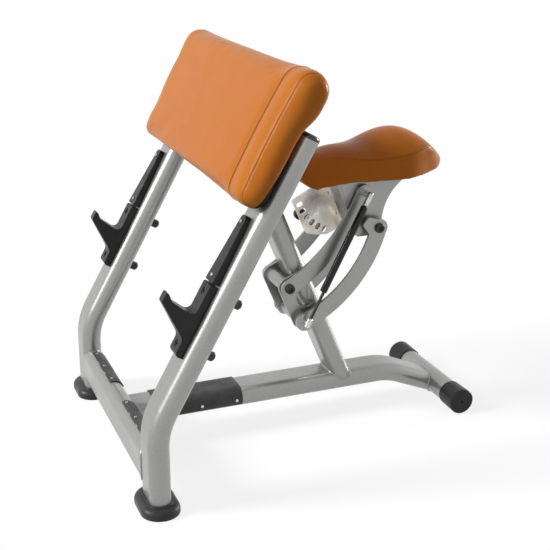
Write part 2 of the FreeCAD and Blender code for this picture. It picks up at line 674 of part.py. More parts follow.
# Bar hooks and guard strips on the uprights
def make_hook(side, label):
    """A J-shaped bar rest: back plate, sloping seat and upturned tip."""
    back = tube_face
    face = tube_face + d.hook_thick
    tip = tube_face + d.hook_reach
    tip_inside = tip - d.hook_tip_thick
    seat_end = d.hook_seat + (tip_inside - face) * math.tan(math.radians(d.hook_seat_slope))
    tip_top = seat_end + d.hook_tip_rise
    small = d.hook_tip_round / 2
    body = new_body(label + "_form", along_upright(side * half_spacing))
    sketch = plane_sketch(body, "YZ_Plane")
    rounded(sketch, [
        (-back, d.hook_bottom, 0), (-face, d.hook_bottom, d.hook_end_round),
        (-face, d.hook_root, d.hook_thick), (-tip, tip_top - d.hook_tip_side, d.hook_tip_round),
        (-tip, tip_top, small), (d.hook_tip_flat - tip, tip_top, small),
        (-tip_inside, seat_end, d.hook_tip_round), (-face, d.hook_seat, d.hook_cradle),
        (-face, d.hook_top, d.hook_tip_round), (-back, d.hook_top, 0)])
    pad(body, sketch, "hook_width", "Symmetric")
    half = d.hook_width / 2
    tip_half = d.hook_tip_width / 2
    start = face + d.hook_taper_start
    beyond = tip + d.overrun
    narrow = half - (half - tip_half) * (beyond - start) / (tip - start)
    taper = plane_sketch(body, "XY_Plane")
    for way in (LEFT, RIGHT):
        rounded(taper, [(way * half, -start, 0), (way * narrow, -beyond, 0),
                        (way * (half + d.overrun), -beyond, 0), (way * (half + d.overrun), -start, 0)])
    pocket(body, taper)
    places = hook_bolt_places(side)
    bored = drilled(label + "_bored", body, places, "hook_bolt_dia + bolt_fit", d.hook_thick)
    mouth = d.hook_bore_depth + d.overrun
    recess = []
    for k, place in enumerate(places):
        lifted = place.multiply(FreeCAD.Placement(V(0, 0, mouth), FreeCAD.Rotation()))
        recess.append(cylinder("%s_recess%d" % (label, k), "hook_head_dia + bolt_fit", lifted, mouth))
    keep(cut(label, bored, recess), label)


def make_hook_fasteners():
    grip = d.hook_thick - d.hook_bore_depth + d.tube_thick
    master = headed("hook_bolt", "hook_head_dia", "hook_head_height", "hook_bolt_dia",
                    grip + d.hook_washer_height + d.hook_nut_height / 2, "hook_socket", "hook_socket_depth")
    group("hook_bolts", (master, hook_bolt_places(LEFT) + hook_bolt_places(RIGHT)))
    bore = (d.hook_bolt_dia + d.running_fit) / 2
    dome = d.hook_nut_dia / 2
    low = d.hook_washer_height
    top = d.hook_nut_height
    ledge = d.hook_washer_dia / 2
    deep = low + top / 2 + d.pin_clear
    nut = turned("hook_nut", [(bore, 0), (ledge, 0), (ledge, low), (dome, low), (dome, top - dome / 2),
                              (dome - dome / 3, top - dome / 6), (dome / 3, top), (0, top), (0, deep),
                              (bore, deep)], FreeCAD.Placement())
    group("hook_nuts", (nut, hook_nut_places(LEFT) + hook_nut_places(RIGHT)))


def make_strip(side, label):
    """A tapering guard above the hook, with a round top and a sloping face."""
    foot = d.hook_top + d.strip_gap
    head = foot + d.strip_length
    foot_half = d.strip_foot_width / 2
    head_half = d.strip_tip_width / 2
    thick = d.strip_foot_thick
    body = new_body(label + "_form", along_upright(side * half_spacing))
    outline = plane_sketch(body, "XZ_Plane", tube_face)
    rounded(outline, [(-foot_half, foot, d.strip_edge), (foot_half, foot, d.strip_edge),
                      (head_half, head, head_half * STRIP_HEAD_ROUND_SHARE),
                      (-head_half, head, head_half * STRIP_HEAD_ROUND_SHARE)])
    pad(body, outline, "strip_foot_thick")
    slope = plane_sketch(body, "YZ_Plane")
    face_low = -tube_face - thick
    face_high = -tube_face - d.strip_tip_thick
    clear = face_low - d.overrun
    rounded(slope, [(face_low, foot, 0), (face_high, head, 0), (clear, head, 0), (clear, foot, 0)])
    pocket(body, slope)
    keep(drilled(label, body, strip_screw_places(side), "screw_shank_dia + screw_fit",
                 d.strip_foot_thick + d.tube_wall), label)


# Arm pad
def pad_profile(x, inset):
    """One cross-section of the arm pad, up the uprights: crowned face, round top, hollow back."""
    face = tube_face + d.pad_face - inset
    rear = d.pad_back + inset * PAD_REAR_INSET_SHARE
    seat = tube_face + d.board_thick + d.pad_clear
    top_round = (face - rear) / 2
    low = d.pad_bottom + inset
    high = d.pad_top - inset
    corner = d.pad_bottom_round - inset / 3
    heel = corner / 3
    top_centre = high - top_round
    top_n = (face + rear) / 2
    pad_height = d.pad_top - d.pad_bottom
    bulge_start = d.pad_bottom + pad_height * PAD_BULGE_START_SHARE
    bulge_full = d.pad_bottom + pad_height * PAD_BULGE_FULL_SHARE
    middle_n = (seat + rear) / 2
    middle_s = (bulge_start + bulge_full) / 2
    bow = (seat - rear) / 8
    diagonal = math.sqrt(1 / 2)
    slant = top_round * diagonal

    def at(s, n):
        return V(x, -n, s)

    def line(first, last):
        return Part.LineSegment(first, last).toShape()

    def arc(first, middle, last):
        return Part.Arc(first, middle, last).toShape()

    return Part.Wire([
        arc(at(low + corner, face), at((low + top_centre) / 2, face + d.pad_crown), at(top_centre, face)),
        arc(at(top_centre, face), at(top_centre + slant, top_n + slant), at(high, top_n)),
        arc(at(high, top_n), at(top_centre + slant, top_n - slant), at(top_centre, rear)),
        line(at(top_centre, rear), at(bulge_full, rear)),
        arc(at(bulge_full, rear), at((middle_s + bulge_full) / 2, (rear + middle_n) / 2 - bow),
            at(middle_s, middle_n)),
        arc(at(middle_s, middle_n), at((middle_s + bulge_start) / 2, (seat + middle_n) / 2 + bow),
            at(bulge_start, seat)),
        line(at(bulge_start, seat), at(low + heel, seat)),
        arc(at(low + heel, seat), at(low + heel * (1 - diagonal), seat + heel * (1 - diagonal)),
            at(low, seat + heel)),
        line(at(low, seat + heel), at(low, face - corner)),
        arc(at(low, face - corner), at(low + corner * (1 - diagonal), face - corner * (1 - diagonal)),
            at(low + corner, face)),
    ])


def make_arm_pad():
    inner = d.pad_width / 2 - d.pad_end_round
    ends = [(inner + d.pad_end_round * place, d.pad_end_round * inset) for place, inset in PAD_END_SHARES]
    stations = [(-x, inset) for x, inset in reversed(ends)]
    stations += [(share * inner, 0.0) for share in PAD_MIDDLE_SHARES]
    stations += ends
    cushion = doc.addObject("Part::Feature", "arm_pad")
    cushion.Shape = Part.makeLoft([pad_profile(x, inset) for x, inset in stations], True, False)
    cushion.Placement = along_upright(0)
    keep(cushion, "arm_pad")


def make_pad_board():
    low = d.pad_bottom + d.board_margin
    high = d.upright_reach - d.board_top_margin
    half = d.pad_width / 2 - d.board_end_margin
    body = new_body("pad_board_form", along_upright(0))
    face = plane_sketch(body, "XZ_Plane", tube_face)
    rounded(face, [(-half, low, d.board_corner), (half, low, d.board_corner), (half, high, d.board_corner),
                   (-half, high, d.board_corner)])
    pad(body, face, "board_thick")
    depth = d.tube_thick + d.board_thick
    keep(drilled("pad_board", body, pad_bolt_places(), "pad_bolt_dia + bolt_fit",
                 depth - d.pad_bolt_grip / 2), "pad_board")
    master = headed("pad_bolt", "pad_bolt_head", "pad_bolt_head_height", "pad_bolt_dia",
                    d.tube_thick + d.pad_bolt_grip, "pad_bolt_socket", "pad_bolt_grip - tube_wall")
    group("pad_bolts", (master, pad_bolt_places()))


# Lift linkage on the seat post
def yz(point):
    return (point.y, point.z)


def make_bracket(side, label):
    """A cheek plate beside the post that carries the two fixed pivots, hollowed behind between them."""
    body = new_body(label, world(side * (d.tube_wide + d.link_plate) / 2))
    sketch = plane_sketch(body, "YZ_Plane")
    reach = d.bracket_corner
    ends = [P2 - post_up * reach - post_ahead * d.bracket_back, P2 - post_up * reach + post_ahead * reach,
            P1 + post_up * reach + post_ahead * reach, P1 + post_up * reach - post_ahead * d.bracket_back]
    rounded(sketch, [yz(end) + (reach * share,) for end, share in zip(ends, (1 / 2, 1, 1, 1 / 2))])
    for pivot in (P1, P2):
        circle(sketch, pivot.y, pivot.z, "shaft_dia + running_fit")
    pad(body, sketch, "link_plate", "Symmetric")
    waist = (P1 + P2) / 2
    rise = post_up * (d.notch_high / 2)
    inner = waist - post_ahead * d.notch_start
    outer = waist - post_ahead * (d.bracket_back + d.overrun)
    notch = plane_sketch(body, "YZ_Plane")
    rounded(notch, [yz(inner + rise) + (d.notch_round,), yz(inner - rise) + (d.notch_round,),
                    yz(outer - rise) + (0,), yz(outer + rise) + (0,)])
    pocket(body, notch)
    keep(body, label)


def ring_places(pivots, inside):
    return [facing(V(side * inside, pivot.y, pivot.z), V(side, 0, 0))
            for pivot in pivots for side in (LEFT, RIGHT)]


def ring(name, dia, bore, length):
    outer = total(dia) / 2
    inner = total(bore) / 2
    return turned(name, [(inner, 0), (outer, 0), (outer, length), (inner, length)], FreeCAD.Placement())


def make_pivots():
    """Sleeves, spacers, shafts and heads: P1 and P2 on the post, Q1 and Q2 on the carriage."""
    bore = "shaft_dia + running_fit"
    sleeve = ring("pivot_sleeve", "sleeve_dia", bore, d.tube_wide)
    upper_spacer = ring("upper_spacer", "spacer_dia", bore, d.spacer_thick)
    lower_spacer = ring("lower_spacer", "spacer_dia", bore, lower_arm_inside - plate_outside)
    upper_shaft = rod("upper_shaft", "shaft_dia", 2 * upper_arm_outside)
    lower_shaft = rod("lower_shaft", "shaft_dia", 2 * lower_arm_outside)
    head = pivot_head()
    for name, upper, lower in (("fixed", P1, P2), ("carriage", Q1, Q2)):
        across = [facing(pivot - X_AXIS * (d.tube_wide / 2), X_AXIS) for pivot in (upper, lower)]
        group(name + "_sleeves", (sleeve, across))
        group(name + "_spacers", (upper_spacer, ring_places([upper], plate_outside)),
              (lower_spacer, ring_places([lower], plate_outside)))
        group(name + "_shafts", (upper_shaft, [facing(upper - X_AXIS * upper_arm_outside, X_AXIS)]),
              (lower_shaft, [facing(lower - X_AXIS * lower_arm_outside, X_AXIS)]))
    upper_heads = ring_places([P1], upper_arm_outside)
    lower_right_head = ring_places([P2], lower_arm_outside)[1:]
    group("fixed_pivot_heads", (head, upper_heads + lower_right_head))
    lower_heads = ring_places([Q2], lower_arm_outside)
    upper_right_head = ring_places([Q1], upper_arm_outside)[1:]
    group("carriage_pivot_heads", (head, lower_heads + upper_right_head))


def rod(name, dia, length):
    radius = total(dia) / 2
    return turned(name, [(0, 0), (radius, 0), (radius, length), (0, length)], FreeCAD.Placement())


def pivot_head():
    """A low socket head closing the end of a pivot shaft."""
    radius = d.pivot_head_dia / 2
    top = d.pivot_head_height
    edge = top / 4
    body = turned("pivot_head", [(0, 0), (radius, 0), (radius, top - edge), (radius - edge, top), (0, top)],
                  FreeCAD.Placement())
    hex_socket(body, "pivot_socket", "pivot_socket_depth", top)
    return body


def arm_outline(sketch, start, bow, width):
    """A bowed strip of even width with round ends, from one pivot to the other."""
    chord = d.arm_length
    radius = (chord * chord / 4 + bow * bow) / (2 * bow)
    centre = start + arm_way * (chord / 2) + arm_below * (bow - radius)
    end = start + arm_way * chord

    def edge(share, offset):
        half = math.asin(chord / 2 / radius)
        angle = (share * 2 - 1) * half
        out = arm_below * math.cos(angle) + arm_way * math.sin(angle)
        return yz(centre + out * (radius + offset))

    half_width = width / 2
    start_way = (start - centre).normalize()
    end_way = (end - centre).normalize()
    start_back = V(0, start_way.z, -start_way.y)
    end_back = V(0, -end_way.z, end_way.y)
    if start_back.dot(arm_way) > 0:
        start_back = start_back * -1
    if end_back.dot(arm_way) < 0:
        end_back = end_back * -1
    chain(sketch, edge(0, -half_width), [
        (edge(1 / 2, -half_width), edge(1, -half_width)),
        (yz(end + end_back * half_width), edge(1, half_width)),
        (edge(1 / 2, half_width), edge(0, half_width)),
        (yz(start + start_back * half_width), edge(0, -half_width))])


def make_arm(side, label, start, bow, width, end_dia, inside, extra=None):
    """One bowed arm plate with a hole at each pivot, and any lug that it carries."""
    body = new_body(label, world(side * (inside + d.arm_thick / 2)))
    strip = plane_sketch(body, "YZ_Plane")
    arm_outline(strip, start, bow, total(width))
    pad(body, strip, "arm_thick", "Symmetric")
    for end in (start, start + arm_way * d.arm_length):
        boss = plane_sketch(body, "YZ_Plane")
        circle(boss, end.y, end.z, end_dia)
        pad(body, boss, "arm_thick", "Symmetric")
    holes = []
    if extra:
        holes = extra(body)
    bores = plane_sketch(body, "YZ_Plane")
    for end in (start, start + arm_way * d.arm_length):
        circle(bores, end.y, end.z, "shaft_dia + running_fit")
    for point, dia in holes:
        circle(bores, point.y, point.z, dia)
    pocket(body, bores)
    keep(body, label)


def pin_ear(body):
    """The round lug of the right upper arm, bored for the pull pin."""
    ear = plane_sketch(body, "YZ_Plane")
    circle(ear, pin_spot.y, pin_spot.z, "ear_dia")
    pad(body, ear, "arm_thick", "Symmetric")
    return [(pin_spot, "pin_dia + running_fit")]


def stop_nose(body):
    """The forward nose on the head of a lower arm."""
    ahead = V(0, -1, 0)
    up = Z_AXIS
    half = d.lower_arm_end / 2
    nose = plane_sketch(body, "YZ_Plane")
    tip = Q2 + ahead * d.nose_reach
    rounded(nose, [yz(Q2 + up * half * math.cos(arm_tilt / 2)) + (0,),
                   yz(Q2 + ahead * d.nose_depth + up * (d.nose_depth + d.running_fit)) + (d.nose_corner,),
                   yz(tip + up * d.nose_drop) + (d.nose_corner,),
                   yz(Q2 + ahead * half * math.cos(arm_tilt / 2) - up * half) + (0,),
                   yz(Q2) + (0,)])
    pad(body, nose, "arm_thick", "Symmetric")
    return []


def make_arms():
    upper = (P1, d.upper_arm_bow, "upper_arm_width", "upper_arm_end", upper_arm_inside)
    lower = (P2, d.lower_arm_bow, "lower_arm_width", "lower_arm_end", lower_arm_inside)
    make_arm(LEFT, "upper_arm_left", *upper)
    make_arm(RIGHT, "upper_arm_right", *upper, pin_ear)
    make_arm(LEFT, "lower_arm_left", *lower, stop_nose)
    make_arm(RIGHT, "lower_arm_right", *lower, stop_nose)


# Seat carriage
seat_plate_bottom = Q1.z + d.seat_plate_rise
seat_board_bottom = seat_plate_bottom + d.seat_plate_thick
seat_bottom = seat_board_bottom + d.pad_clear
seat_nose_y = Q1.y - d.seat_front


def on_web(ahead, height):
    """Point at a height on a plane parallel to the post, ahead of the carriage pivots."""
    foot = Q1 + post_ahead * ahead
    return foot + post_up * ((height - foot.z) / post_up.z)


def carriage_foot():
    return Q2.z - d.carriage_drop


def make_carriage_plate(side, label):
    """A cheek of the seat carriage: straight front, hollow rear edge, round foot."""
    body = new_body(label, world(side * (d.tube_wide + d.link_plate) / 2))
    sketch = plane_sketch(body, "YZ_Plane")
    front = d.web_front - d.web_thick
    top_front = on_web(front, seat_plate_bottom)
    low_front = on_web(front, carriage_foot())
    top_rear = V(0, Q1.y + d.carriage_back, seat_plate_bottom)
    shoulder = V(0, top_rear.y, seat_plate_bottom - d.carriage_corner)
    foot_out = Q2 + (V(0, 1, 1).normalize() * d.carriage_drop)
    foot_low = Q2 - Z_AXIS * d.carriage_drop
    foot_side = Q2 + V(0, 1, -1).normalize() * d.carriage_drop
    middle = (shoulder + foot_out) * (1 / 2)
    hollow = middle + V(0, -1, 1).normalize() * (d.carriage_waist / 2)
    chain(sketch, yz(top_front), [yz(top_rear), yz(shoulder), (yz(hollow), yz(foot_out)),
                                  (yz(foot_side), yz(foot_low)), yz(low_front), yz(top_front)])
    for pivot in (Q1, Q2):
        circle(sketch, pivot.y, pivot.z, "shaft_dia + running_fit")
    pad(body, sketch, "link_plate", "Symmetric")
    keep(body, label)


def make_carriage_web():
    """The channel's front web between the cheeks, parallel to the post."""
    body = new_body("carriage_web_form")
    sketch = plane_sketch(body, "YZ_Plane")
    back = d.web_front - d.web_thick
    corners = [on_web(d.web_front, seat_plate_bottom), on_web(back, seat_plate_bottom),
               on_web(back, carriage_foot()), on_web(d.web_front, carriage_foot())]
    rounded(sketch, [yz(corner) + (0,) for corner in corners])
    pad(body, sketch, "tube_wide + link_plate + link_plate", "Symmetric")
    keep(drilled("carriage_web", body, selector_bolt_places(), "selector_bolt_dia + bolt_fit",
                 d.web_thick * 2), "carriage_web")


def selector_bolt_places():
    back = d.web_front - d.web_thick
    return [facing(on_web(back, Q1.z - (k + 1 / 2) * d.selector_bolt_inset) + X_AXIS * RIGHT
                   * d.selector_bolt_inset, post_ahead * -1) for k in (0, 2)]


def make_selector():
    """The drilled plate that the pull pin enters, folded and bolted to the web."""
    across = d.tube_wide / 2 + d.link_plate + d.spacer_thick - d.selector_gap - d.selector_thick
    body = new_body("selector_form", world(-across))
    face = d.web_front

    def polar(radius, angle):
        return V(0, Q1.y + radius * math.cos(angle), Q1.z + radius * math.sin(angle))

    edge = []
    for radius_share, pitches, corner_share in SELECTOR_EDGE_SHARES:
        angle = math.radians(d.arm_angle + 180 + pitches * d.selector_pitch)
        point = polar(d.selector_radius * radius_share, angle)
        edge.append(yz(point) + (d.selector_corner * corner_share,))
    top = seat_plate_bottom - d.selector_edge
    low = edge[-1][1]
    sheet_sketch = plane_sketch(body, "YZ_Plane")
    rounded(sheet_sketch, [yz(on_web(face, top)) + (0,)] + edge + [yz(on_web(face, low)) + (0,)])
    pad(body, sheet_sketch, "selector_thick", flip=True)
    flange = plane_sketch(body, "YZ_Plane")
    outer = face + d.selector_thick
    chain(flange, yz(on_web(face, top)), [yz(on_web(outer, top)), yz(on_web(outer, low)),
                                          yz(on_web(face, low)), yz(on_web(face, top))])
    pad(body, flange, "selector_flange")
    slots = plane_sketch(body, "YZ_Plane")
    for k in range(-SELECTOR_HOLES_BELOW, SELECTOR_HOLES_ABOVE + 1):
        angle = math.radians(d.arm_angle + 180 + k * d.selector_pitch)
        half = (d.selector_slot - d.selector_hole) / 2
        radius = d.selector_hole / 2
        out = V(0, math.cos(angle), math.sin(angle))
        aside = V(0, -math.sin(angle), math.cos(angle))
        spot = polar(d.selector_radius, angle)
        far = spot + out * half
        near = spot - out * half
        chain(slots, yz(near + aside * radius), [
            yz(far + aside * radius), (yz(far + out * radius), yz(far - aside * radius)),
            yz(near - aside * radius), (yz(near - out * radius), yz(near + aside * radius))])
    pocket(body, slots)
    keep(drilled("selector_plate", body, selector_bolt_places(), "selector_bolt_dia + bolt_fit",
                 d.web_thick * 2), "selector_plate")
    master = headed("selector_bolt", "selector_bolt_head", "selector_bolt_head_height", "selector_bolt_dia",
                    d.selector_thick + d.web_thick, "seat_bolt_socket", "selector_thick")
    group("selector_bolts", (master, selector_bolt_places()))


# Pull pin on the right upper arm, drawn clear of the plate
def make_pull_pin():
    face = -upper_arm_outside
    out = V(-1, 0, 0)
    start = V(face, pin_spot.y, pin_spot.z)
    place = facing(start, out)
    bore = (d.pin_dia + d.running_fit) / 2
    shell = d.housing_dia / 2
    chamber = shell - d.housing_wall
    length = d.housing_length
    floor = length - d.housing_floor
    keep(turned("pin_housing", [(bore, 0), (shell, 0), (shell, length), (bore, length), (bore, floor),
                                (chamber, floor), (chamber, d.housing_floor),
                                (bore, d.housing_floor)], place), "pin_housing")
    radius = d.pin_dia / 2
    collar = d.pin_collar_dia / 2
    tip = -(d.arm_thick + d.selector_gap - d.pin_clear)
    collar_start = d.housing_floor + d.pin_travel + d.pin_clear
    collar_end = collar_start + d.pin_collar_thick
    tail = length + d.pin_travel + d.pin_clear + d.knob_socket
    edge = radius / 3
    keep(turned("pull_pin", [(0, tip), (radius - edge, tip), (radius, tip + edge), (radius, collar_start),
                             (collar, collar_start), (collar, collar_end), (radius, collar_end),
                             (radius, tail), (0, tail)], place), "pull_pin")
    spring_bore = (d.pin_dia + d.bolt_fit) / 2
    spring_out = collar - d.bolt_fit
    spring_start = collar_end + d.pin_clear
    keep(turned("pin_spring", [(spring_bore, spring_start), (spring_out, spring_start), (spring_out, floor),
                               (spring_bore, floor)], place), "pin_spring")
    neck = d.knob_neck_dia / 2
    knob = d.knob_dia / 2
    base = tail - d.knob_socket
    end = base + d.knob_length
    round_edge = d.knob_edge
    keep(turned("pull_knob", [(radius, base), (neck, base), (neck, base + d.knob_neck),
                              (knob, base + d.knob_neck + round_edge), (knob, end - round_edge),
                              (knob - round_edge, end), (0, end), (0, tail), (radius, tail)], place),
         "pull_knob")


# Gas spring on the left, from the lower fixed pivot to the upper carriage pivot
def make_gas_spring():
    skew = math.radians(d.gas_skew)
    line = (P2 - Q1).normalize()
    aside = V(0, line.z, -line.y)
    way = line * math.cos(skew) + aside * math.sin(skew)
    top = facing(V(d.gas_offset, Q1.y, Q1.z), way)
    low = facing(V(d.gas_offset, P2.y, P2.z), way * -1)
    radius = d.gas_tube_dia / 2
    bore = radius - d.gas_tube_wall
    start = d.gas_head_gap
    end = start + d.gas_tube_length
    edge = d.gas_tube_wall
    keep(turned("gas_cylinder", [(0, start), (radius - edge, start), (radius, start + edge),
                                 (radius, end - edge), (radius - edge / 2, end), (bore, end),
                                 (bore, start + radius), (0, start + radius)], top), "gas_cylinder")
    rod = d.gas_rod_dia / 2
    span = (P2 - Q1).Length
    rod_end = span - end + d.gas_rod_inside
    keep(turned("gas_rod", [(0, d.fitting_length - d.fitting_nose), (rod, d.fitting_length - d.fitting_nose),
                            (rod, rod_end), (0, rod_end)], low), "gas_rod")
    make_fitting("gas_cylinder_fitting", top, d.gas_head_gap)
    make_fitting("gas_rod_fitting", low, d.fitting_length - d.fitting_nose)
    for label, pivot, outside in (("upper_gas_stud", Q1, upper_arm_outside),
                                  ("lower_gas_stud", P2, lower_arm_outside)):
        collar = d.gas_offset - d.fitting_dia / 2 - d.stud_collar_gap - outside
        pin = d.gas_offset + d.fitting_dia / 2 - outside
        stud = d.stud_dia / 2
        wide = d.stud_collar_dia / 2
        place = facing(V(outside, pivot.y, pivot.z), X_AXIS)
        outline = [(0, 0), (wide, 0), (wide, collar), (stud, collar), (stud, pin), (0, pin)]
        keep(turned(label, outline, place), label)


def make_fitting(label, place, reach):
    """A round end fitting whose cross hole turns on a stud."""
    radius = d.fitting_dia / 2
    nose = d.fitting_nose
    edge = radius / 3
    body = turned(label + "_form", [(0, -nose), (radius - edge, -nose), (radius, edge - nose),
                                    (radius, reach - edge), (radius - edge, reach), (0, reach)], place)
    across = FreeCAD.Placement(place.Base, FreeCAD.Rotation(Z_AXIS, X_AXIS))
    keep(drilled(label, body, [across], "stud_dia + running_fit", d.fitting_dia), label)


# Seat
def make_seat_plate():
    front = on_web(d.web_front, seat_plate_bottom).y
    back = Q1.y + d.carriage_back
    half = plate_outside
    body = new_body("seat_plate_form")
    sketch = plane_sketch(body, "XY_Plane", seat_plate_bottom)
    corner = d.carriage_corner
    rounded(sketch, [(-half, front, corner), (half, front, corner), (half, back, corner),
                     (-half, back, corner)])
    pad(body, sketch, "seat_plate_thick")
    keep(drilled("seat_plate", body, seat_bolt_places(), "seat_bolt_dia + bolt_fit", d.seat_plate_thick * 2),
         "seat_plate")


def seat_bolt_places():
    first = Q1.y + d.seat_bolt_front
    return [facing(V(side * d.seat_bolt_across / 2, y, seat_plate_bottom), V(0, 0, -1))
            for side in (LEFT, RIGHT) for y in (first, first + d.seat_bolt_pitch * (2 / 3))]


def seat_board_outline(sketch, margin):
    """The board's outline, narrower at the nose, grown all round by a margin."""
    narrow = d.seat_board_narrow / 2 + margin
    wide = d.seat_board_wide / 2 + margin
    front = seat_nose_y + d.seat_board_front - margin
    back = seat_nose_y + d.seat_board_front + d.seat_board_length + margin
    corner = d.seat_board_corner + margin
    rounded(sketch, [(-narrow, front, corner), (narrow, front, corner), (wide, back, corner),
                     (-wide, back, corner)])


def make_seat_board():
    body = new_body("seat_board_form")
    sketch = plane_sketch(body, "XY_Plane", seat_board_bottom)
    seat_board_outline(sketch, 0)
    pad(body, sketch, "seat_board_thick")
    keep(drilled("seat_board", body, seat_bolt_places(), "seat_bolt_dia + bolt_fit",
                 d.seat_plate_thick + d.seat_bolt_grip + d.pin_clear), "seat_board")
    master = headed("seat_bolt", "seat_bolt_head", "seat_bolt_head_height", "seat_bolt_dia",
                    d.seat_plate_thick + d.seat_bolt_grip, "seat_bolt_socket", "seat_bolt_grip - tube_wall")
    group("seat_bolts", (master, seat_bolt_places()))


def seat_section(place, foot_share, crease_share, lift, side, crown):
    """One cross-section of the saddle: flat underside, full sides up to a crease, and a crowned top."""
    y = seat_nose_y + place * d.seat_length - mid_y
    foot = foot_share * d.seat_width / 2
    crease = crease_share * d.seat_width / 2
    low = seat_bottom + lift * d.seat_height
    edge = seat_bottom + side * d.seat_height
    top = seat_bottom + crown * d.seat_height
    swell = (foot + crease + SEAT_SIDE_BULGE_SHARE * d.seat_width) / 2
    middle = (low + edge) / 2
    right_foot = V(-foot, y, low)
    left_foot = V(foot, y, low)
    left_edge = V(crease, y, edge)
    right_edge = V(-crease, y, edge)
    return Part.Wire([
        Part.LineSegment(right_foot, left_foot).toShape(),
        Part.Arc(left_foot, V(swell, y, middle), left_edge).toShape(),
        Part.Arc(left_edge, V(0, y, top), right_edge).toShape(),
        Part.Arc(right_edge, V(-swell, y, middle), right_foot).toShape(),
    ])


def make_seat():
    """The saddle cushion: planed flat behind its nose, with a recess that takes the board."""
    saddle = Part.makeLoft([seat_section(*shares) for shares in SEAT_SHARES], True, False)
    flat_y = seat_nose_y + SEAT_FLAT_SHARE * d.seat_length - mid_y
    corner = V(-d.seat_width, flat_y, seat_bottom - d.seat_height)
    below = Part.makeBox(2 * d.seat_width, 2 * d.seat_length, d.seat_height, corner)
    planed = doc.addObject("Part::Feature", "planed_saddle")
    planed.Shape = saddle.cut(below)
    recess = new_body("board_recess")
    sketch = plane_sketch(recess, "XY_Plane", seat_board_bottom - d.seat_droop)
    seat_board_outline(sketch, d.pad_clear)
    pad(recess, sketch, "seat_droop + seat_board_thick + pad_clear")
    keep(cut("seat_cushion", planed, [recess]), "seat_cushion")


def make_everything():
    for side, word in ((LEFT, "left"), (RIGHT, "right")):
        make_upright(side, "upright_" + word)
        make_foot(side, "foot_" + word)
        make_upright_cap(side, "upright_cap_" + word)
        make_rear_cap(side, "rear_cap_" + word)
        make_grip(side, "foot_grip_" + word)
        make_hook(side, "bar_hook_" + word)
        make_strip(side, "guard_strip_" + word)
        make_bracket(side, "link_bracket_" + word)
        make_carriage_plate(side, "carriage_plate_" + word)
    make_beam_and_crossbar()
    make_spine()
    make_rear_tube()
    make_seat_post()
    make_tread()
    make_trim_screws()
    make_hook_fasteners()
    make_arm_pad()
    make_pad_board()
    make_pivots()
    make_arms()
    make_carriage_web()
    make_selector()
    make_pull_pin()
    make_gas_spring()
    make_seat_plate()
    make_seat_board()
    make_seat()


def write_everything():
    doc.recompute()
    for thing in doc.Objects:
        if "Invalid" in thing.State or "Error" in thing.State:
            raise RuntimeError("failed: " + thing.Name)
    for thing in subparts:
        if thing.Shape.isNull() or not thing.Shape.isValid():
            raise RuntimeError("bad shape: " + thing.Label)
    os.makedirs("parts", exist_ok=True)
    for thing in subparts:
        thing.Shape.exportStep("parts/" + thing.Label + ".step")
        print(thing.Label, len(thing.Shape.Solids), round(thing.Shape.Volume))


make_everything()
write_everything()
print(len(subparts), "sub-parts")
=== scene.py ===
import json
import math

import bmesh
import bpy
import numpy as np
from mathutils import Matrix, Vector
from mathutils.bvhtree import BVHTree
from mathutils.kdtree import KDTree


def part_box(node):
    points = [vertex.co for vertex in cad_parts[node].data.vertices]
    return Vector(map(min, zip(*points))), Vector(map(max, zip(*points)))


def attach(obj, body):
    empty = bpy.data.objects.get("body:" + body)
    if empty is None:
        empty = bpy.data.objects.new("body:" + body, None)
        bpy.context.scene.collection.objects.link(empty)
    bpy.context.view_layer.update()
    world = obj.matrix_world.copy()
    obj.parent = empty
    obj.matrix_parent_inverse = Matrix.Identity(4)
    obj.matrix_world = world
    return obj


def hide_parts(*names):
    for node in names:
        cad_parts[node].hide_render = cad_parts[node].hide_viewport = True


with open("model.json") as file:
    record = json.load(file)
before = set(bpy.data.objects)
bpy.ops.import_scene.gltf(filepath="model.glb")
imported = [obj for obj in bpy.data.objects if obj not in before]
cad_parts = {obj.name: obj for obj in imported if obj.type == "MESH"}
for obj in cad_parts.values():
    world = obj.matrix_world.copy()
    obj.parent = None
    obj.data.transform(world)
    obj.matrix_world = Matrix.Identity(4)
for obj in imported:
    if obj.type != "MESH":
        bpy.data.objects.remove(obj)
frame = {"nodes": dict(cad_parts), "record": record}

scene = bpy.context.scene
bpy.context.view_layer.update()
MM = 0.001

# The uprights lean back from their bends, and the arm pad is set out along that slope
LEAN = math.radians(29.4)
UP_SLOPE = np.array((0.0, math.sin(LEAN), math.cos(LEAN)))
OFF_SLOPE = np.array((0.0, -math.cos(LEAN), math.sin(LEAN)))
SLOPE_START = np.array((0.0, frame["record"]["mounts"][0]["pos_m"][1], 199 * MM))

# Arm pad cover
PAD_VOXEL = 5.5 * MM
PAD_LOFT = 0.5 * MM
PAD_PRESSURE = 4.0
PAD_SWELL = 5.0 * MM
PAD_EVEN_ROUNDS = 12
PAD_BACK_OFF = 41 * MM
PAD_BACK_TOP = 700 * MM
# Where the arm pad's black lining ends, with its band of painted shade along the lower rear edge
PAD_LINING_AND_SHADE_OFF = 52 * MM
PAD_LINING_AND_SHADE_TAPER = 0.12
PAD_LINING_AND_SHADE_FADE = 4 * MM
PAD_SHOWN_FADE = 10 * MM
PAD_SEWN_SHARE = 0.6
END_SEAM_X = 303 * MM
SIDE_SEAM_X = 372 * MM
SIDE_SEAM_SHARE = 0.4
FAR_CREASE_X = -372 * MM
# Strengths and widths of the painted shade drawn along the seams and the far crease
END_SEAM_DARK = 1.4
END_DARK_WIDTH = 1.25
SIDE_SEAM_DARK = 0.35
SIDE_DARK_WIDTH = 0.7
FAR_CREASE_DARK = 0.25
FAR_DARK_WIDTH = 0.6

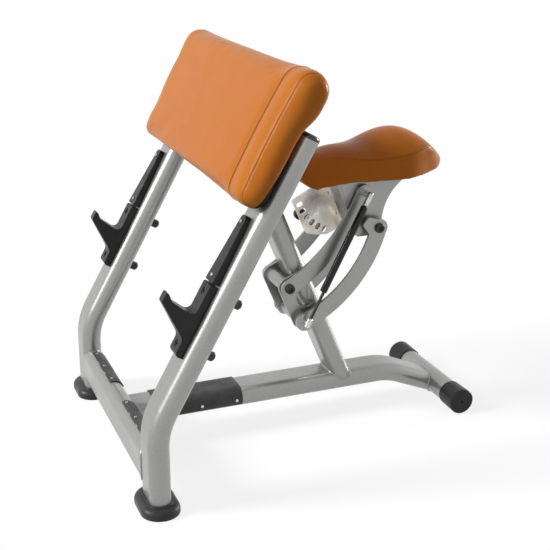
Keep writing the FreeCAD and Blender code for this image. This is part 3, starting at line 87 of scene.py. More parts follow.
# Seat cover
SEAT_VOXEL = 4.0 * MM
SEAT_LOFT = 0.5 * MM
SEAT_PRESSURE = 4.0
SEAT_SWELL = 4.0 * MM
SEAT_EVEN_ROUNDS = 3
SEAT_HELD_RISE = 12 * MM
SEAT_SEAM_RISE = 25 * MM
SEAT_SEAM_TURN = math.radians(18)
SEAT_SEAM_FULL_TURN = math.radians(38)
SEAT_SEAM_SHARE = 0.5
# Strength of the painted shade along the seat's seam
SEAT_SEAM_DARK = 0.35
SEAT_SEWN_SHARE = 0.7
UNDERSIDE_FACING = -0.75

# Cloth of both covers
CLOTH_QUALITY = 5
CLOTH_MASS = 0.3
CLOTH_STIFFNESS = 15
CLOTH_BEND = 0.5
CLOTH_FRAMES = 20
EVEN_FACTOR = 0.5

# Seams and stitches
SEAM_DEPTH = 3.0 * MM
SEAM_WIDTH = 1.9 * MM
LIP_HEIGHT = 0.9 * MM
LIP_PLACE = 4.0 * MM
LIP_WIDTH = 2.6 * MM
CREASE_DEPTH = 1.0 * MM
CREASE_WIDTH = 1.6 * MM
SEAM_REFINE = 7 * MM
STITCH_PITCH = 5.0 * MM
STITCH_LENGTH = 3.8 * MM
STITCH_RADIUS = 0.45 * MM
STITCH_SIDES = 6
STITCH_SHARES = (-0.5, -0.3, 0.0, 0.3, 0.5)
STITCH_LIFTS = (-0.5, 0.35, 0.6, 0.35, -0.5)
STITCH_THICKNESS = (0.5, 0.95, 1.0, 0.95, 0.5)

# Weld beads
WELD_RADIUS = 2.7 * MM
WELD_PITCH = 5.0 * MM
WELD_STEP = 1.6 * MM
WELD_TURN = math.radians(40)
WELD_SIDES = 10
WELD_LEAST = 0.94
WELD_RIPPLE = 0.09
WELD_WANDER = 0.05
WELD_WANDER_RATE = 0.37
WELD_WANDER_START = 1.3
JOIN_DISTANCE = 0.02 * MM
SPOT_STEP = 0.05 * MM
# Each weld: its name, the tube, the axis along which that tube's end lies, and how far from the tube's middle at least
WELDS = (
    ("weld_beam_left", "front_crossbeam", 0, 0.2),
    ("weld_beam_right", "front_crossbeam", 0, -0.2),
    ("weld_crossbar_left", "pad_crossbar", 0, 0.2),
    ("weld_crossbar_right", "pad_crossbar", 0, -0.2),
    ("weld_spine_front", "spine_beam", 1, -0.2),
    ("weld_spine_rear", "spine_beam", 1, 0.2),
    ("weld_post_foot", "seat_post", 2, -0.15),
    ("weld_post_top", "seat_post", 2, 0.15),
)

# Colours of the finishes
SILVER = (0.305, 0.304, 0.295, 1)
SILVER_FLAKE = (0.41, 0.409, 0.397, 1)
SILVER_FLECK = (0.24, 0.24, 0.231, 1)
SILVER_CLOUD = (0.29, 0.29, 0.281, 1)
SILVER_EDGE_WEAR_AND_HIGHLIGHT = (0.6, 0.605, 0.6, 1)
DUST_ON_SILVER = (0.5, 0.48, 0.44, 1)
DUST_ON_BLACK = (0.3, 0.28, 0.25, 1)
DUST_ON_TREAD = (0.25, 0.235, 0.21, 1)
CAP_BLACK = (0.012, 0.012, 0.0125, 1)
CAP_BLACK_WORN = (0.019, 0.019, 0.019, 1)
CAP_EDGE_WEAR_AND_HIGHLIGHT = (0.09, 0.09, 0.09, 1)
TREAD_BLACK = (0.04, 0.04, 0.041, 1)
TREAD_NUB = (0.068, 0.068, 0.069, 1)
STEEL = (0.66, 0.66, 0.65, 1)
STEEL_DULL = (0.52, 0.515, 0.5, 1)
BOLT_BLACK = (0.022, 0.022, 0.024, 1)
BOLT_BLACK_WORN = (0.04, 0.039, 0.038, 1)
BOLT_EDGE_WEAR_AND_HIGHLIGHT = (0.2, 0.2, 0.2, 1)
LACQUER_BLACK = (0.006, 0.006, 0.0065, 1)
LACQUER_WORN = (0.012, 0.012, 0.0125, 1)
PLATING = (0.9, 0.865, 0.79, 1)
PLATING_CLOUD = (0.68, 0.64, 0.56, 1)
TAN = (0.68, 0.207, 0.022, 1)
TAN_CLOUD = (0.61, 0.178, 0.018, 1)
TAN_VALLEY = (0.33, 0.09, 0.014, 1)
SEAM_PAINTED_SHADE = (0.03, 0.008, 0.003, 1)
LINING_AND_SHADE_BLACK = (0.012, 0.012, 0.013, 1)
LINING_ROUGHNESS = (0.8, 0.8, 0.8, 1)
THREAD = (0.2, 0.065, 0.016, 1)
THREAD_CREST = (0.32, 0.11, 0.027, 1)
BOARD_BLACK = (0.018, 0.017, 0.016, 1)
BOARD_GRAIN = (0.035, 0.032, 0.029, 1)
WHITE = (1, 1, 1, 1)
RIB_COUNT = 20.0


# Small helpers for meshes
def coords(mesh):
    flat = np.empty(len(mesh.vertices) * 3)
    mesh.vertices.foreach_get("co", flat)
    return flat.reshape(-1, 3)


def normals(mesh):
    flat = np.empty(len(mesh.vertices) * 3)
    mesh.vertices.foreach_get("normal", flat)
    return flat.reshape(-1, 3)


def put_coords(mesh, points):
    mesh.vertices.foreach_set("co", np.ascontiguousarray(points).ravel())
    mesh.update()


def settle(obj):
    """Replace a piece's mesh by what its modifiers make of it."""
    seen = obj.evaluated_get(bpy.context.evaluated_depsgraph_get())
    made = bpy.data.meshes.new_from_object(seen)
    obj.modifiers.clear()
    obj.data = made


def new_piece(name, mesh):
    obj = bpy.data.objects.new(name, mesh)
    scene.collection.objects.link(obj)
    return obj


def piece_from(name, bm):
    mesh = bpy.data.meshes.new(name)
    bm.to_mesh(mesh)
    bm.free()
    mesh.shade_smooth()
    return new_piece(name, mesh)


def fit_out(obj, body, finish):
    """Give a new piece its finish and let it move with a body of the frame."""
    obj.data.materials.clear()
    obj.data.materials.append(finish)
    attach(obj, body)
    return obj


# Small helpers for shader nodes
def place(tree, kind, inputs=None, **settings):
    node = tree.nodes.new(kind)
    for name, value in settings.items():
        setattr(node, name, value)
    for name, value in (inputs or {}).items():
        socket = node.inputs[name]
        if isinstance(value, bpy.types.NodeSocket):
            tree.links.new(value, socket)
        else:
            socket.default_value = value
    return node


def clean_tree(owner):
    """The empty node tree of a material or the world."""
    owner.use_nodes = True
    owner.node_tree.nodes.clear()
    return owner.node_tree


def maths(tree, operation, first, second=0.0):
    return place(tree, "ShaderNodeMath", {0: first, 1: second}, operation=operation).outputs[0]


def noise(tree, at, scale, **settings):
    inputs = {"Vector": at, "Scale": scale, **{name.capitalize(): value for name, value in settings.items()}}
    return place(tree, "ShaderNodeTexNoise", inputs).outputs


def ranged(tree, value, low, high, to_low=0.0, to_high=1.0):
    """A value between two bounds, eased from one level to the other."""
    limits = {"Value": value, "From Min": low, "From Max": high, "To Min": to_low, "To Max": to_high}
    return place(tree, "ShaderNodeMapRange", limits, interpolation_type="SMOOTHSTEP").outputs["Result"]


def blended(tree, factor, first, second):
    return place(tree, "ShaderNodeMix", {0: factor, 6: first, 7: second}, data_type="RGBA").outputs[2]


def spread(tree, mask, low, high):
    """A mask stretched from one level to another."""
    return ranged(tree, mask, 0.0, 1.0, low, high)


def tinted(tree, mask, share, first, second):
    """One colour over another, as far as a share of a mask."""
    return blended(tree, maths(tree, "MULTIPLY", mask, share), first, second)


def begin_group(name, inputs, outputs):
    tree = bpy.data.node_groups.new(name, "ShaderNodeTree")
    for socket, value in inputs.items():
        made = tree.interface.new_socket(socket, in_out="INPUT", socket_type="NodeSocketFloat")
        made.default_value = value
    for socket, kind in outputs.items():
        tree.interface.new_socket(socket, in_out="OUTPUT", socket_type=kind)
    return tree, place(tree, "NodeGroupInput").outputs


def own_place(tree):
    """The point on the piece itself, so that a pattern moves with it."""
    return place(tree, "ShaderNodeTexCoord").outputs["Object"]


# Effects that several finishes share
def leather_grain_group():
    tree, given = begin_group("leather grain", {"Cell": 1.5 * MM},
                              {"Height": "NodeSocketFloat", "Valley": "NodeSocketFloat"})
    at = own_place(tree)
    scale = maths(tree, "DIVIDE", 1.0, given["Cell"])
    stir = noise(tree, at, scale, detail=2.0)["Color"]
    drift = (0.9 * MM, 0.9 * MM, 0.9 * MM)
    stirred = place(tree, "ShaderNodeVectorMath", {0: stir, 1: drift, 2: at},
                    operation="MULTIPLY_ADD")
    cells = place(tree, "ShaderNodeTexVoronoi", {"Vector": stirred.outputs[0], "Scale": scale},
                  feature="DISTANCE_TO_EDGE")
    height = ranged(tree, cells.outputs["Distance"], 0.01, 0.3)
    place(tree, "NodeGroupOutput", {"Height": height, "Valley": maths(tree, "SUBTRACT", 1.0, height)})
    return tree


def mottle_group():
    tree, given = begin_group("mottle", {"Size": 100 * MM}, {"Mask": "NodeSocketFloat"})
    scale = maths(tree, "DIVIDE", 1.0, given["Size"])
    cloud = noise(tree, own_place(tree), scale, detail=4.0)["Fac"]
    place(tree, "NodeGroupOutput", {"Mask": ranged(tree, cloud, 0.32, 0.68)})
    return tree


def fine_texture_group():
    tree, given = begin_group("fine texture", {"Size": 1 * MM}, {"Height": "NodeSocketFloat"})
    scale = maths(tree, "DIVIDE", 1.0, given["Size"])
    grit = noise(tree, own_place(tree), scale, detail=2.0, roughness=0.6)["Fac"]
    place(tree, "NodeGroupOutput", {"Height": grit})
    return tree


def soft_edge_group():
    tree, given = begin_group("soft edge", {"Reach": 1.5 * MM},
                              {"Mask": "NodeSocketFloat", "Normal": "NodeSocketVector"})
    rounded = place(tree, "ShaderNodeBevel", {"Radius": given["Reach"]}, samples=6)
    true = place(tree, "ShaderNodeNewGeometry").outputs["Normal"]
    agree = place(tree, "ShaderNodeVectorMath", {0: rounded.outputs["Normal"], 1: true},
                  operation="DOT_PRODUCT")
    turned = ranged(tree, agree.outputs["Value"], 0.86, 0.995, 1.0, 0.0)
    patch = noise(tree, own_place(tree), 1 / (14 * MM))["Fac"]
    # This mask makes edges paler in several finishes: partly edge wear, partly a painted highlight along rounded
    # edges.
    broken = maths(tree, "MULTIPLY", turned, ranged(tree, patch, 0.35, 0.6, 0.35, 1.0))
    place(tree, "NodeGroupOutput", {"Mask": broken, "Normal": rounded.outputs["Normal"]})
    return tree


def hairline_group():
    tree, given = begin_group("hairlines", {"Along": 60 * MM, "Across": 0.4 * MM},
                              {"Mask": "NodeSocketFloat"})
    along = maths(tree, "DIVIDE", 1.0, given["Along"])
    across = maths(tree, "DIVIDE", 1.0, given["Across"])
    stretch = place(tree, "ShaderNodeCombineXYZ", {"X": along, "Y": across, "Z": across})
    drawn = place(tree, "ShaderNodeVectorMath", {0: own_place(tree), 1: stretch.outputs[0]},
                  operation="MULTIPLY")
    lines = noise(tree, drawn.outputs[0], 1.0, detail=3.0)["Fac"]
    place(tree, "NodeGroupOutput", {"Mask": ranged(tree, lines, 0.35, 0.65)})
    return tree


def settled_dust_group():
    tree, given = begin_group("settled dust", {"Size": 30 * MM}, {"Mask": "NodeSocketFloat"})
    spot = place(tree, "ShaderNodeTexCoord")
    facing = place(tree, "ShaderNodeSeparateXYZ", {0: spot.outputs["Normal"]}).outputs["Z"]
    scale = maths(tree, "DIVIDE", 1.0, given["Size"])
    drift = noise(tree, spot.outputs["Object"], scale, detail=6.0)["Fac"]
    lying = maths(tree, "MULTIPLY", ranged(tree, facing, 0.35, 1.0),
                  ranged(tree, drift, 0.4, 0.75))
    place(tree, "NodeGroupOutput", {"Mask": lying})
    return tree


LEATHER_GRAIN = leather_grain_group()
MOTTLE = mottle_group()
FINE_TEXTURE = fine_texture_group()
SOFT_EDGE = soft_edge_group()
HAIRLINES = hairline_group()
SETTLED_DUST = settled_dust_group()


def effect(tree, group, **values):
    """One shared effect in a finish, with that finish's own values."""
    inputs = {name.capitalize(): value for name, value in values.items()}
    return place(tree, "ShaderNodeGroup", inputs, node_tree=group).outputs


def begin_finish(name, **constants):
    material = bpy.data.materials.new(name)
    tree = clean_tree(material)
    shader = place(tree, "ShaderNodeBsdfPrincipled")
    for socket, value in constants.items():
        shader.inputs[socket.replace("_", " ")].default_value = value
    place(tree, "ShaderNodeOutputMaterial", {"Surface": shader.outputs["BSDF"]})
    return material, tree, shader


def join(tree, shader, **sockets):
    for name, value in sockets.items():
        tree.links.new(value, shader.inputs[name.replace("_", " ")])


def bumped(tree, height, depth, strength, base=None):
    inputs = {"Height": height, "Distance": depth, "Strength": strength}
    if base is not None:
        inputs["Normal"] = base
    return place(tree, "ShaderNodeBump", inputs).outputs["Normal"]


# Finishes
def silver_powder_coat():
    finish, tree, shader = begin_finish("silver_powder_coat", Metallic=0.8, Coat_Weight=0.25, Coat_Roughness=0.13)
    flake = effect(tree, FINE_TEXTURE, size=0.5 * MM)["Height"]
    peel = effect(tree, FINE_TEXTURE, size=2.2 * MM)["Height"]
    fleck = effect(tree, FINE_TEXTURE, size=3.5 * MM)["Height"]
    broad = effect(tree, MOTTLE, size=160 * MM)["Mask"]
    edge = effect(tree, SOFT_EDGE, reach=1.6 * MM)
    dust = effect(tree, SETTLED_DUST, size=60 * MM)["Mask"]
    colour = blended(tree, ranged(tree, flake, 0.3, 0.7), SILVER, SILVER_FLAKE)
    colour = blended(tree, ranged(tree, fleck, 0.35, 0.65, 0.0, 0.3), colour, SILVER_FLECK)
    colour = tinted(tree, broad, 0.25, colour, SILVER_CLOUD)
    # Paler edges: partly edge wear, partly a painted highlight along the rounded edges.
    colour = tinted(tree, edge["Mask"], 0.3, colour, SILVER_EDGE_WEAR_AND_HIGHLIGHT)
    colour = tinted(tree, dust, 0.12, colour, DUST_ON_SILVER)
    join(tree, shader, Base_Color=colour, Roughness=spread(tree, broad, 0.31, 0.39),
         Normal=bumped(tree, peel, 0.05 * MM, 0.25, edge["Normal"]))
    return finish


def moulded_black(name, colour, edge_wear_and_highlight, rough, grit, depth, reach):
    """A black moulded finish: textured skin, softened edges made paler by edge wear and a painted highlight, and a
    little dust.
    """
    finish, tree, shader = begin_finish(name, Specular_IOR_Level=0.3)
    texture = effect(tree, FINE_TEXTURE, size=grit)["Height"]
    broad = effect(tree, MOTTLE, size=40 * MM)["Mask"]
    edge = effect(tree, SOFT_EDGE, reach=reach)
    dust = effect(tree, SETTLED_DUST, size=25 * MM)["Mask"]
    shade = tinted(tree, broad, 0.4, colour, tuple(c * 0.7 for c in colour[:3]) + (1,))
    # Paler edges: partly edge wear, partly a painted highlight.
    shade = tinted(tree, edge["Mask"], 0.45, shade, edge_wear_and_highlight)
    shade = tinted(tree, dust, 0.08, shade, DUST_ON_BLACK)
    join(tree, shader, Base_Color=shade, Roughness=spread(tree, broad, rough, rough + 0.14),
         Normal=bumped(tree, texture, depth, 0.5, edge["Normal"]))
    return finish


def ribbed_rubber():
    """Black rubber with broad shallow ribs along the rear tube's caps."""
    finish, tree, shader = begin_finish("ribbed_rubber", Specular_IOR_Level=0.3)
    spot = place(tree, "ShaderNodeTexCoord")
    at = place(tree, "ShaderNodeSeparateXYZ", {0: spot.outputs["Object"]}).outputs
    low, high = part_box("rear_cross_tube")
    angle = maths(tree, "ARCTAN2", maths(tree, "SUBTRACT", at["Z"], (low.z + high.z) / 2),
                  maths(tree, "SUBTRACT", at["Y"], (low.y + high.y) / 2))
    wave = maths(tree, "COSINE", maths(tree, "MULTIPLY", angle, RIB_COUNT))
    facing = place(tree, "ShaderNodeSeparateXYZ", {0: spot.outputs["Normal"]}).outputs["X"]
    facing = maths(tree, "ABSOLUTE", facing)
    ribs = maths(tree, "MULTIPLY", ranged(tree, wave, -0.6, 0.1), ranged(tree, facing, 0.3, 0.6, 1.0, 0.0))
    grit = effect(tree, FINE_TEXTURE, size=0.6 * MM)["Height"]
    broad = effect(tree, MOTTLE, size=40 * MM)["Mask"]
    edge = effect(tree, SOFT_EDGE, reach=2.0 * MM)
    colour = blended(tree, broad, CAP_BLACK, CAP_BLACK_WORN)
    # Paler edges: partly edge wear, partly a painted highlight.
    colour = tinted(tree, edge["Mask"], 0.4, colour, CAP_EDGE_WEAR_AND_HIGHLIGHT)
    skin = bumped(tree, grit, 0.05 * MM, 0.5, edge["Normal"])
    join(tree, shader, Base_Color=colour, Roughness=spread(tree, broad, 0.38, 0.5),
         Normal=bumped(tree, ribs, 0.5 * MM, 0.6, skin))
    return finish


def tread_rubber():
    """Black rubber with small round nubs, as on a foot plate."""
    finish, tree, shader = begin_finish("tread_rubber")
    at = own_place(tree)
    nubs = place(tree, "ShaderNodeTexVoronoi", {"Vector": at, "Scale": 1 / (2.6 * MM), "Randomness": 0.25})
    height = ranged(tree, nubs.outputs["Distance"], 0.15, 0.5, 1.0, 0.0)
    broad = effect(tree, MOTTLE, size=50 * MM)["Mask"]
    edge = effect(tree, SOFT_EDGE, reach=1.2 * MM)
    dust = effect(tree, SETTLED_DUST, size=20 * MM)["Mask"]
    colour = blended(tree, height, TREAD_BLACK, TREAD_NUB)
    colour = tinted(tree, dust, 0.16, colour, DUST_ON_TREAD)
    join(tree, shader, Base_Color=colour, Roughness=spread(tree, broad, 0.5, 0.66),
         Normal=bumped(tree, height, 0.25 * MM, 0.6, edge["Normal"]))
    return finish


def turned_steel():
    finish, tree, shader = begin_finish("turned_steel", Metallic=1.0)
    lines = effect(tree, HAIRLINES, along=8 * MM, across=0.25 * MM)["Mask"]
    broad = effect(tree, MOTTLE, size=12 * MM)["Mask"]
    edge = effect(tree, SOFT_EDGE, reach=0.5 * MM)
    colour = blended(tree, broad, STEEL, STEEL_DULL)
    join(tree, shader, Base_Color=colour, Roughness=spread(tree, lines, 0.2, 0.36),
         Normal=bumped(tree, lines, 0.02 * MM, 0.3, edge["Normal"]))
    return finish


def blackened_steel():
    finish, tree, shader = begin_finish("blackened_steel", Metallic=0.4)
    grit = effect(tree, FINE_TEXTURE, size=0.5 * MM)["Height"]
    broad = effect(tree, MOTTLE, size=9 * MM)["Mask"]
    edge = effect(tree, SOFT_EDGE, reach=0.7 * MM)
    colour = blended(tree, broad, BOLT_BLACK, BOLT_BLACK_WORN)
    # Paler edges: partly edge wear, partly a painted highlight.
    colour = tinted(tree, edge["Mask"], 0.6, colour, BOLT_EDGE_WEAR_AND_HIGHLIGHT)
    join(tree, shader, Base_Color=colour, Roughness=spread(tree, broad, 0.3, 0.46),
         Normal=bumped(tree, grit, 0.02 * MM, 0.3, edge["Normal"]))
    return finish


def gloss_lacquer(name, rough, gloss):
    """Smooth black lacquer or plastic with faint hairline scuffs."""
    finish, tree, shader = begin_finish(name, Specular_IOR_Level=gloss)
    lines = effect(tree, HAIRLINES, along=25 * MM, across=0.3 * MM)["Mask"]
    broad = effect(tree, MOTTLE, size=30 * MM)["Mask"]
    edge = effect(tree, SOFT_EDGE, reach=1.0 * MM)
    colour = blended(tree, broad, LACQUER_BLACK, LACQUER_WORN)
    join(tree, shader, Base_Color=colour, Roughness=spread(tree, lines, rough, rough + 0.1),
         Normal=bumped(tree, lines, 0.005 * MM, 0.2, edge["Normal"]))
    return finish


def plated_sheet():
    """Bright plated sheet, faintly warm, with cloudy handling marks."""
    finish, tree, shader = begin_finish("plated_sheet", Metallic=1.0)
    lines = effect(tree, HAIRLINES, along=40 * MM, across=0.5 * MM)["Mask"]
    cloud = effect(tree, MOTTLE, size=34 * MM)["Mask"]
    edge = effect(tree, SOFT_EDGE, reach=0.7 * MM)
    colour = tinted(tree, cloud, 0.6, PLATING, PLATING_CLOUD)
    rough = maths(tree, "ADD", spread(tree, cloud, 0.24, 0.34), maths(tree, "MULTIPLY", lines, 0.06))
    join(tree, shader, Base_Color=colour, Roughness=rough,
         Normal=bumped(tree, lines, 0.02 * MM, 0.25, edge["Normal"]))
    return finish


def tan_leatherette(name, gloss, rough):
    """Grained tan leatherette with painted shade in its seams, and black where a cover wraps underneath: lining cloth,
    which on the arm pad also stands in as painted shade along the lower rear edge.
    """
    finish, tree, shader = begin_finish(name, Specular_IOR_Level=gloss)
    grain = effect(tree, LEATHER_GRAIN, cell=1.6 * MM)
    fine = effect(tree, FINE_TEXTURE, size=0.7 * MM)["Height"]
    broad = effect(tree, MOTTLE, size=130 * MM)["Mask"]
    rubbed = effect(tree, MOTTLE, size=45 * MM)["Mask"]
    painted_seam_shade = place(tree, "ShaderNodeAttribute", attribute_name="painted_seam_shade").outputs["Fac"]
    lining_and_painted_shade = place(tree, "ShaderNodeAttribute", attribute_name="lining_and_painted_shade").outputs["Fac"]
    lining_and_painted_shade = ranged(tree, lining_and_painted_shade, 0.4, 0.6)
    colour = tinted(tree, broad, 0.3, TAN, TAN_CLOUD)
    colour = tinted(tree, grain["Valley"], 0.2, colour, TAN_VALLEY)
    # Painted shade in the seam grooves
    colour = blended(tree, painted_seam_shade, colour, SEAM_PAINTED_SHADE)
    # Black lining cloth, which on the arm pad also serves as painted shade along the lower rear edge
    colour = blended(tree, lining_and_painted_shade, colour, LINING_AND_SHADE_BLACK)
    height = maths(tree, "ADD", grain["Height"], maths(tree, "MULTIPLY", fine, 0.5))
    rough = blended(tree, lining_and_painted_shade, spread(tree, rubbed, rough, rough + 0.06), LINING_ROUGHNESS)
    join(tree, shader, Base_Color=colour, Roughness=rough, Normal=bumped(tree, height, 0.12 * MM, 0.3))
    return finish


def seam_thread():
    finish, tree, shader = begin_finish("seam_thread")
    twist = place(tree, "ShaderNodeTexWave", {"Vector": own_place(tree), "Scale": 1 / (4 * MM), "Distortion": 2.0},
                  bands_direction="DIAGONAL")
    fuzz = effect(tree, FINE_TEXTURE, size=0.3 * MM)["Height"]
    colour = blended(tree, twist.outputs["Fac"], THREAD, THREAD_CREST)
    join(tree, shader, Base_Color=colour, Roughness=ranged(tree, fuzz, 0.3, 0.7, 0.55, 0.75),
         Normal=bumped(tree, twist.outputs["Fac"], 0.1 * MM, 0.6))
    return finish


def black_board():
    """The black painted ply behind the upholstery."""
    finish, tree, shader = begin_finish("black_board")
    grain = effect(tree, HAIRLINES, along=90 * MM, across=1.2 * MM)["Mask"]
    broad = effect(tree, MOTTLE, size=60 * MM)["Mask"]
    colour = blended(tree, grain, BOARD_BLACK, BOARD_GRAIN)
    join(tree, shader, Base_Color=colour, Roughness=spread(tree, broad, 0.6, 0.75),
         Normal=bumped(tree, grain, 0.08 * MM, 0.4))
    return finish


FINISHES = {
    "powder_coat": silver_powder_coat(),
    "foot_rubber": moulded_black("foot_rubber", (0.035, 0.035, 0.036, 1), (0.12, 0.12, 0.12, 1), 0.32, 0.6 * MM,
                                 0.05 * MM, 2.5 * MM),
    "cap_plastic": gloss_lacquer("cap_plastic", 0.16, 0.6),
    "tread_rubber": tread_rubber(),
    "hook_plastic": moulded_black("hook_plastic", (0.01, 0.01, 0.0105, 1), (0.06, 0.06, 0.06, 1), 0.3, 0.45 * MM,
                                  0.04 * MM, 2.0 * MM),
    "bright_steel": turned_steel(),
    "black_steel": blackened_steel(),
    "plated_steel": plated_sheet(),
    "knob_plastic": moulded_black("knob_plastic", (0.02, 0.02, 0.021, 1), (0.08, 0.08, 0.08, 1), 0.28, 0.5 * MM,
                                  0.03 * MM, 1.2 * MM),
    "upholstery": tan_leatherette("pad_leatherette", 0.12, 0.29),
    "board": black_board(),
}
GAS_LACQUER = gloss_lacquer("gas_tube_lacquer", 0.12, 0.3)
CAP_RUBBER = ribbed_rubber()
SEAT_LEATHER = tan_leatherette("seat_leatherette", 0.07, 0.27)
SEAM_THREAD = seam_thread()
OWN_FINISHES = {"gas_cylinder": GAS_LACQUER, "rear_cap_left": CAP_RUBBER, "rear_cap_right": CAP_RUBBER}


def dress_frame():
    """Every piece of the frame gets its own finish or that of its material slot."""
    for part in frame["record"]["subparts"]:
        mesh = frame["nodes"][part["node"]].data
        mesh.materials.clear()
        mesh.materials.append(OWN_FINISHES.get(part["node"], FINISHES[part["material_slot"]]))


# Upholstery
def cover_blank(node, name, voxel, loft):
    """An even mesh laid a little above a cushion's solid."""
    obj = new_piece(name, frame["nodes"][node].data.copy())
    even = obj.modifiers.new("even", "REMESH")
    even.mode = "VOXEL"
    even.voxel_size = voxel
    settle(obj)
    put_coords(obj.data, coords(obj.data) + normals(obj.data) * loft)
    return obj


def plump(obj, held, pressure, swell):
    """Swell a cover by the foam's push while the points that are sewn or glued stay where they are."""
    before = coords(obj.data)
    obj.vertex_groups.new(name="held").add([int(k) for k in np.flatnonzero(held)], 1.0, "REPLACE")
    cloth = obj.modifiers.new("cover", "CLOTH")
    cloth.settings.quality = CLOTH_QUALITY
    cloth.settings.mass = CLOTH_MASS
    cloth.settings.tension_stiffness = CLOTH_STIFFNESS
    cloth.settings.compression_stiffness = CLOTH_STIFFNESS
    cloth.settings.bending_stiffness = CLOTH_BEND
    cloth.settings.use_pressure = True
    cloth.settings.uniform_pressure_force = pressure
    cloth.settings.vertex_group_mass = "held"
    cloth.settings.effector_weights.gravity = 0
    for number in range(1, CLOTH_FRAMES + 1):
        scene.frame_set(number)
    seen = obj.evaluated_get(bpy.context.evaluated_depsgraph_get())
    move = coords(seen.data) - before
    obj.modifiers.clear()
    obj.vertex_groups.clear()
    scene.frame_set(1)
    reach = np.linalg.norm(move, axis=1, keepdims=True)
    put_coords(obj.data, before + move * np.minimum(1.0, swell / np.maximum(reach, 1e-9)))


def smoothed(obj, rounds):
    """Even out the small lumps of a cover and divide its faces once."""
    even = obj.modifiers.new("even", "SMOOTH")
    even.factor = EVEN_FACTOR
    even.iterations = rounds
    round_off = obj.modifiers.new("round", "SUBSURF")
    round_off.levels = 1
    round_off.render_levels = 1
    settle(obj)


def refine(obj, near):
    """Divide the faces beside a seam, so that it can be drawn in sharply."""
    bm = bmesh.new()
    bm.from_mesh(obj.data)
    edges = [e for e in bm.edges if near[e.verts[0].index] and near[e.verts[1].index]]
    bmesh.ops.subdivide_edges(bm, edges=edges, cuts=2, use_grid_fill=True)
    bm.to_mesh(obj.data)
    bm.free()


def dip(across, depth, width):
    return depth * np.exp(-(across / width) ** 2)


def sewn(across):
    """Height of a sewn seam: a fold drawn down, with the outer panel's lip beside it."""
    return dip(across - LIP_PLACE, LIP_HEIGHT, LIP_WIDTH) - dip(across, SEAM_DEPTH, SEAM_WIDTH)


def line_on(mesh, level):
    """The line on a mesh along which a value of its points is zero, as points in order."""
    points = coords(mesh)
    pairs = np.empty(len(mesh.edges) * 2, int)
    mesh.edges.foreach_get("vertices", pairs)
    pairs = pairs.reshape(-1, 2)
    first, second = level[pairs[:, 0]], level[pairs[:, 1]]
    crossed = (first < 0) != (second < 0)
    share = np.where(crossed, first / np.where(crossed, first - second, 1.0), 0.0)[:, None]
    spots = points[pairs[:, 0]] * (1 - share) + points[pairs[:, 1]] * share
    beside = {}
    for face in mesh.polygons:
        cut = [mesh.loops[k].edge_index for k in face.loop_indices if crossed[mesh.loops[k].edge_index]]
        if len(cut) == 2:
            beside.setdefault(cut[0], []).append(cut[1])
            beside.setdefault(cut[1], []).append(cut[0])
    start = min(beside)
    line, last, here = [start], None, start
    while True:
        onward = [edge for edge in beside[here] if edge != last and edge != start]
        if not onward or len(line) > len(beside):
            break
        last, here = here, onward[0]
        line.append(here)
    return spots[line + [start]]


def spaced(line, pitch):
    """Points at even steps along a line."""
    run = np.concatenate(([0.0], np.cumsum(np.linalg.norm(np.diff(line, axis=0), axis=1))))
    steps = np.arange(0.0, run[-1], run[-1] / max(2, round(run[-1] / pitch)))
    return np.stack([np.interp(steps, run, line[:, k]) for k in range(3)], axis=1)


def ring_around(bm, centre, ahead, aside, radius, sides):
    """A ring of points around a line, in the plane across it."""
    over = ahead.cross(aside)
    angles = [2 * math.pi * j / sides for j in range(sides)]
    return [bm.verts.new(Vector(centre) + (aside * math.cos(a) + over * math.sin(a)) * radius) for a in angles]


def skin_between(bm, low, high):
    sides = len(low)
    for j in range(sides):
        bm.faces.new((low[j], low[(j + 1) % sides], high[(j + 1) % sides], high[j]))


def closed_tube(bm, centres, radii, sides):
    """A tube along some points, closed at both ends."""
    rings = []
    for k, centre in enumerate(centres):
        ahead = Vector(centres[min(k + 1, len(centres) - 1)] - centres[max(k - 1, 0)]).normalized()
        rings.append(ring_around(bm, centre, ahead, ahead.orthogonal().normalized(), radii[k], sides))
    for low, high in zip(rings, rings[1:]):
        skin_between(bm, low, high)
    bm.faces.new(rings[0][::-1])
    bm.faces.new(rings[-1])


def stitch_row(name, cover, line, keep):
    """Separate stitches along a line, each one dipping into the cover at its ends."""
    skin = BVHTree.FromObject(cover, bpy.context.evaluated_depsgraph_get())
    spots = spaced(line, STITCH_PITCH)
    bm = bmesh.new()
    for k, spot in enumerate(spots):
        if not keep(spot):
            continue
        ahead = spots[(k + 1) % len(spots)] - spots[k - 1]
        ahead = ahead / max(np.linalg.norm(ahead), 1e-9)
        hit, out, _, _ = skin.find_nearest(Vector(spot))
        out = np.array(out)
        centres = [np.array(hit) + ahead * STITCH_LENGTH * share + out * STITCH_RADIUS * lift
                   for share, lift in zip(STITCH_SHARES, STITCH_LIFTS)]
        closed_tube(bm, centres, [STITCH_RADIUS * thick for thick in STITCH_THICKNESS], STITCH_SIDES)
    return piece_from(name, bm)


def mark(mesh, name, mask):
    """Keep a value of a mesh's points for its finish to read."""
    made = mesh.attributes.new(name, "FLOAT", "POINT")
    made.data.foreach_set("value", mask.astype(np.float32))


def sharp_edges(node, least, wanted):
    """The sharp edges of a node: both ends of each, the way out between its faces, and how far they turn."""
    bm = bmesh.new()
    bm.from_mesh(frame["nodes"][node].data)
    bmesh.ops.remove_doubles(bm, verts=bm.verts, dist=JOIN_DISTANCE)
    bm.normal_update()
    found = []
    for edge in bm.edges:
        if len(edge.link_faces) == 2 and edge.calc_face_angle() > least and wanted(edge.verts[0].co):
            out = (edge.link_faces[0].normal + edge.link_faces[1].normal).normalized()
            found.append((edge.verts[0].co[:], edge.verts[1].co[:], out[:], edge.calc_face_angle()))
    bm.free()
    return found


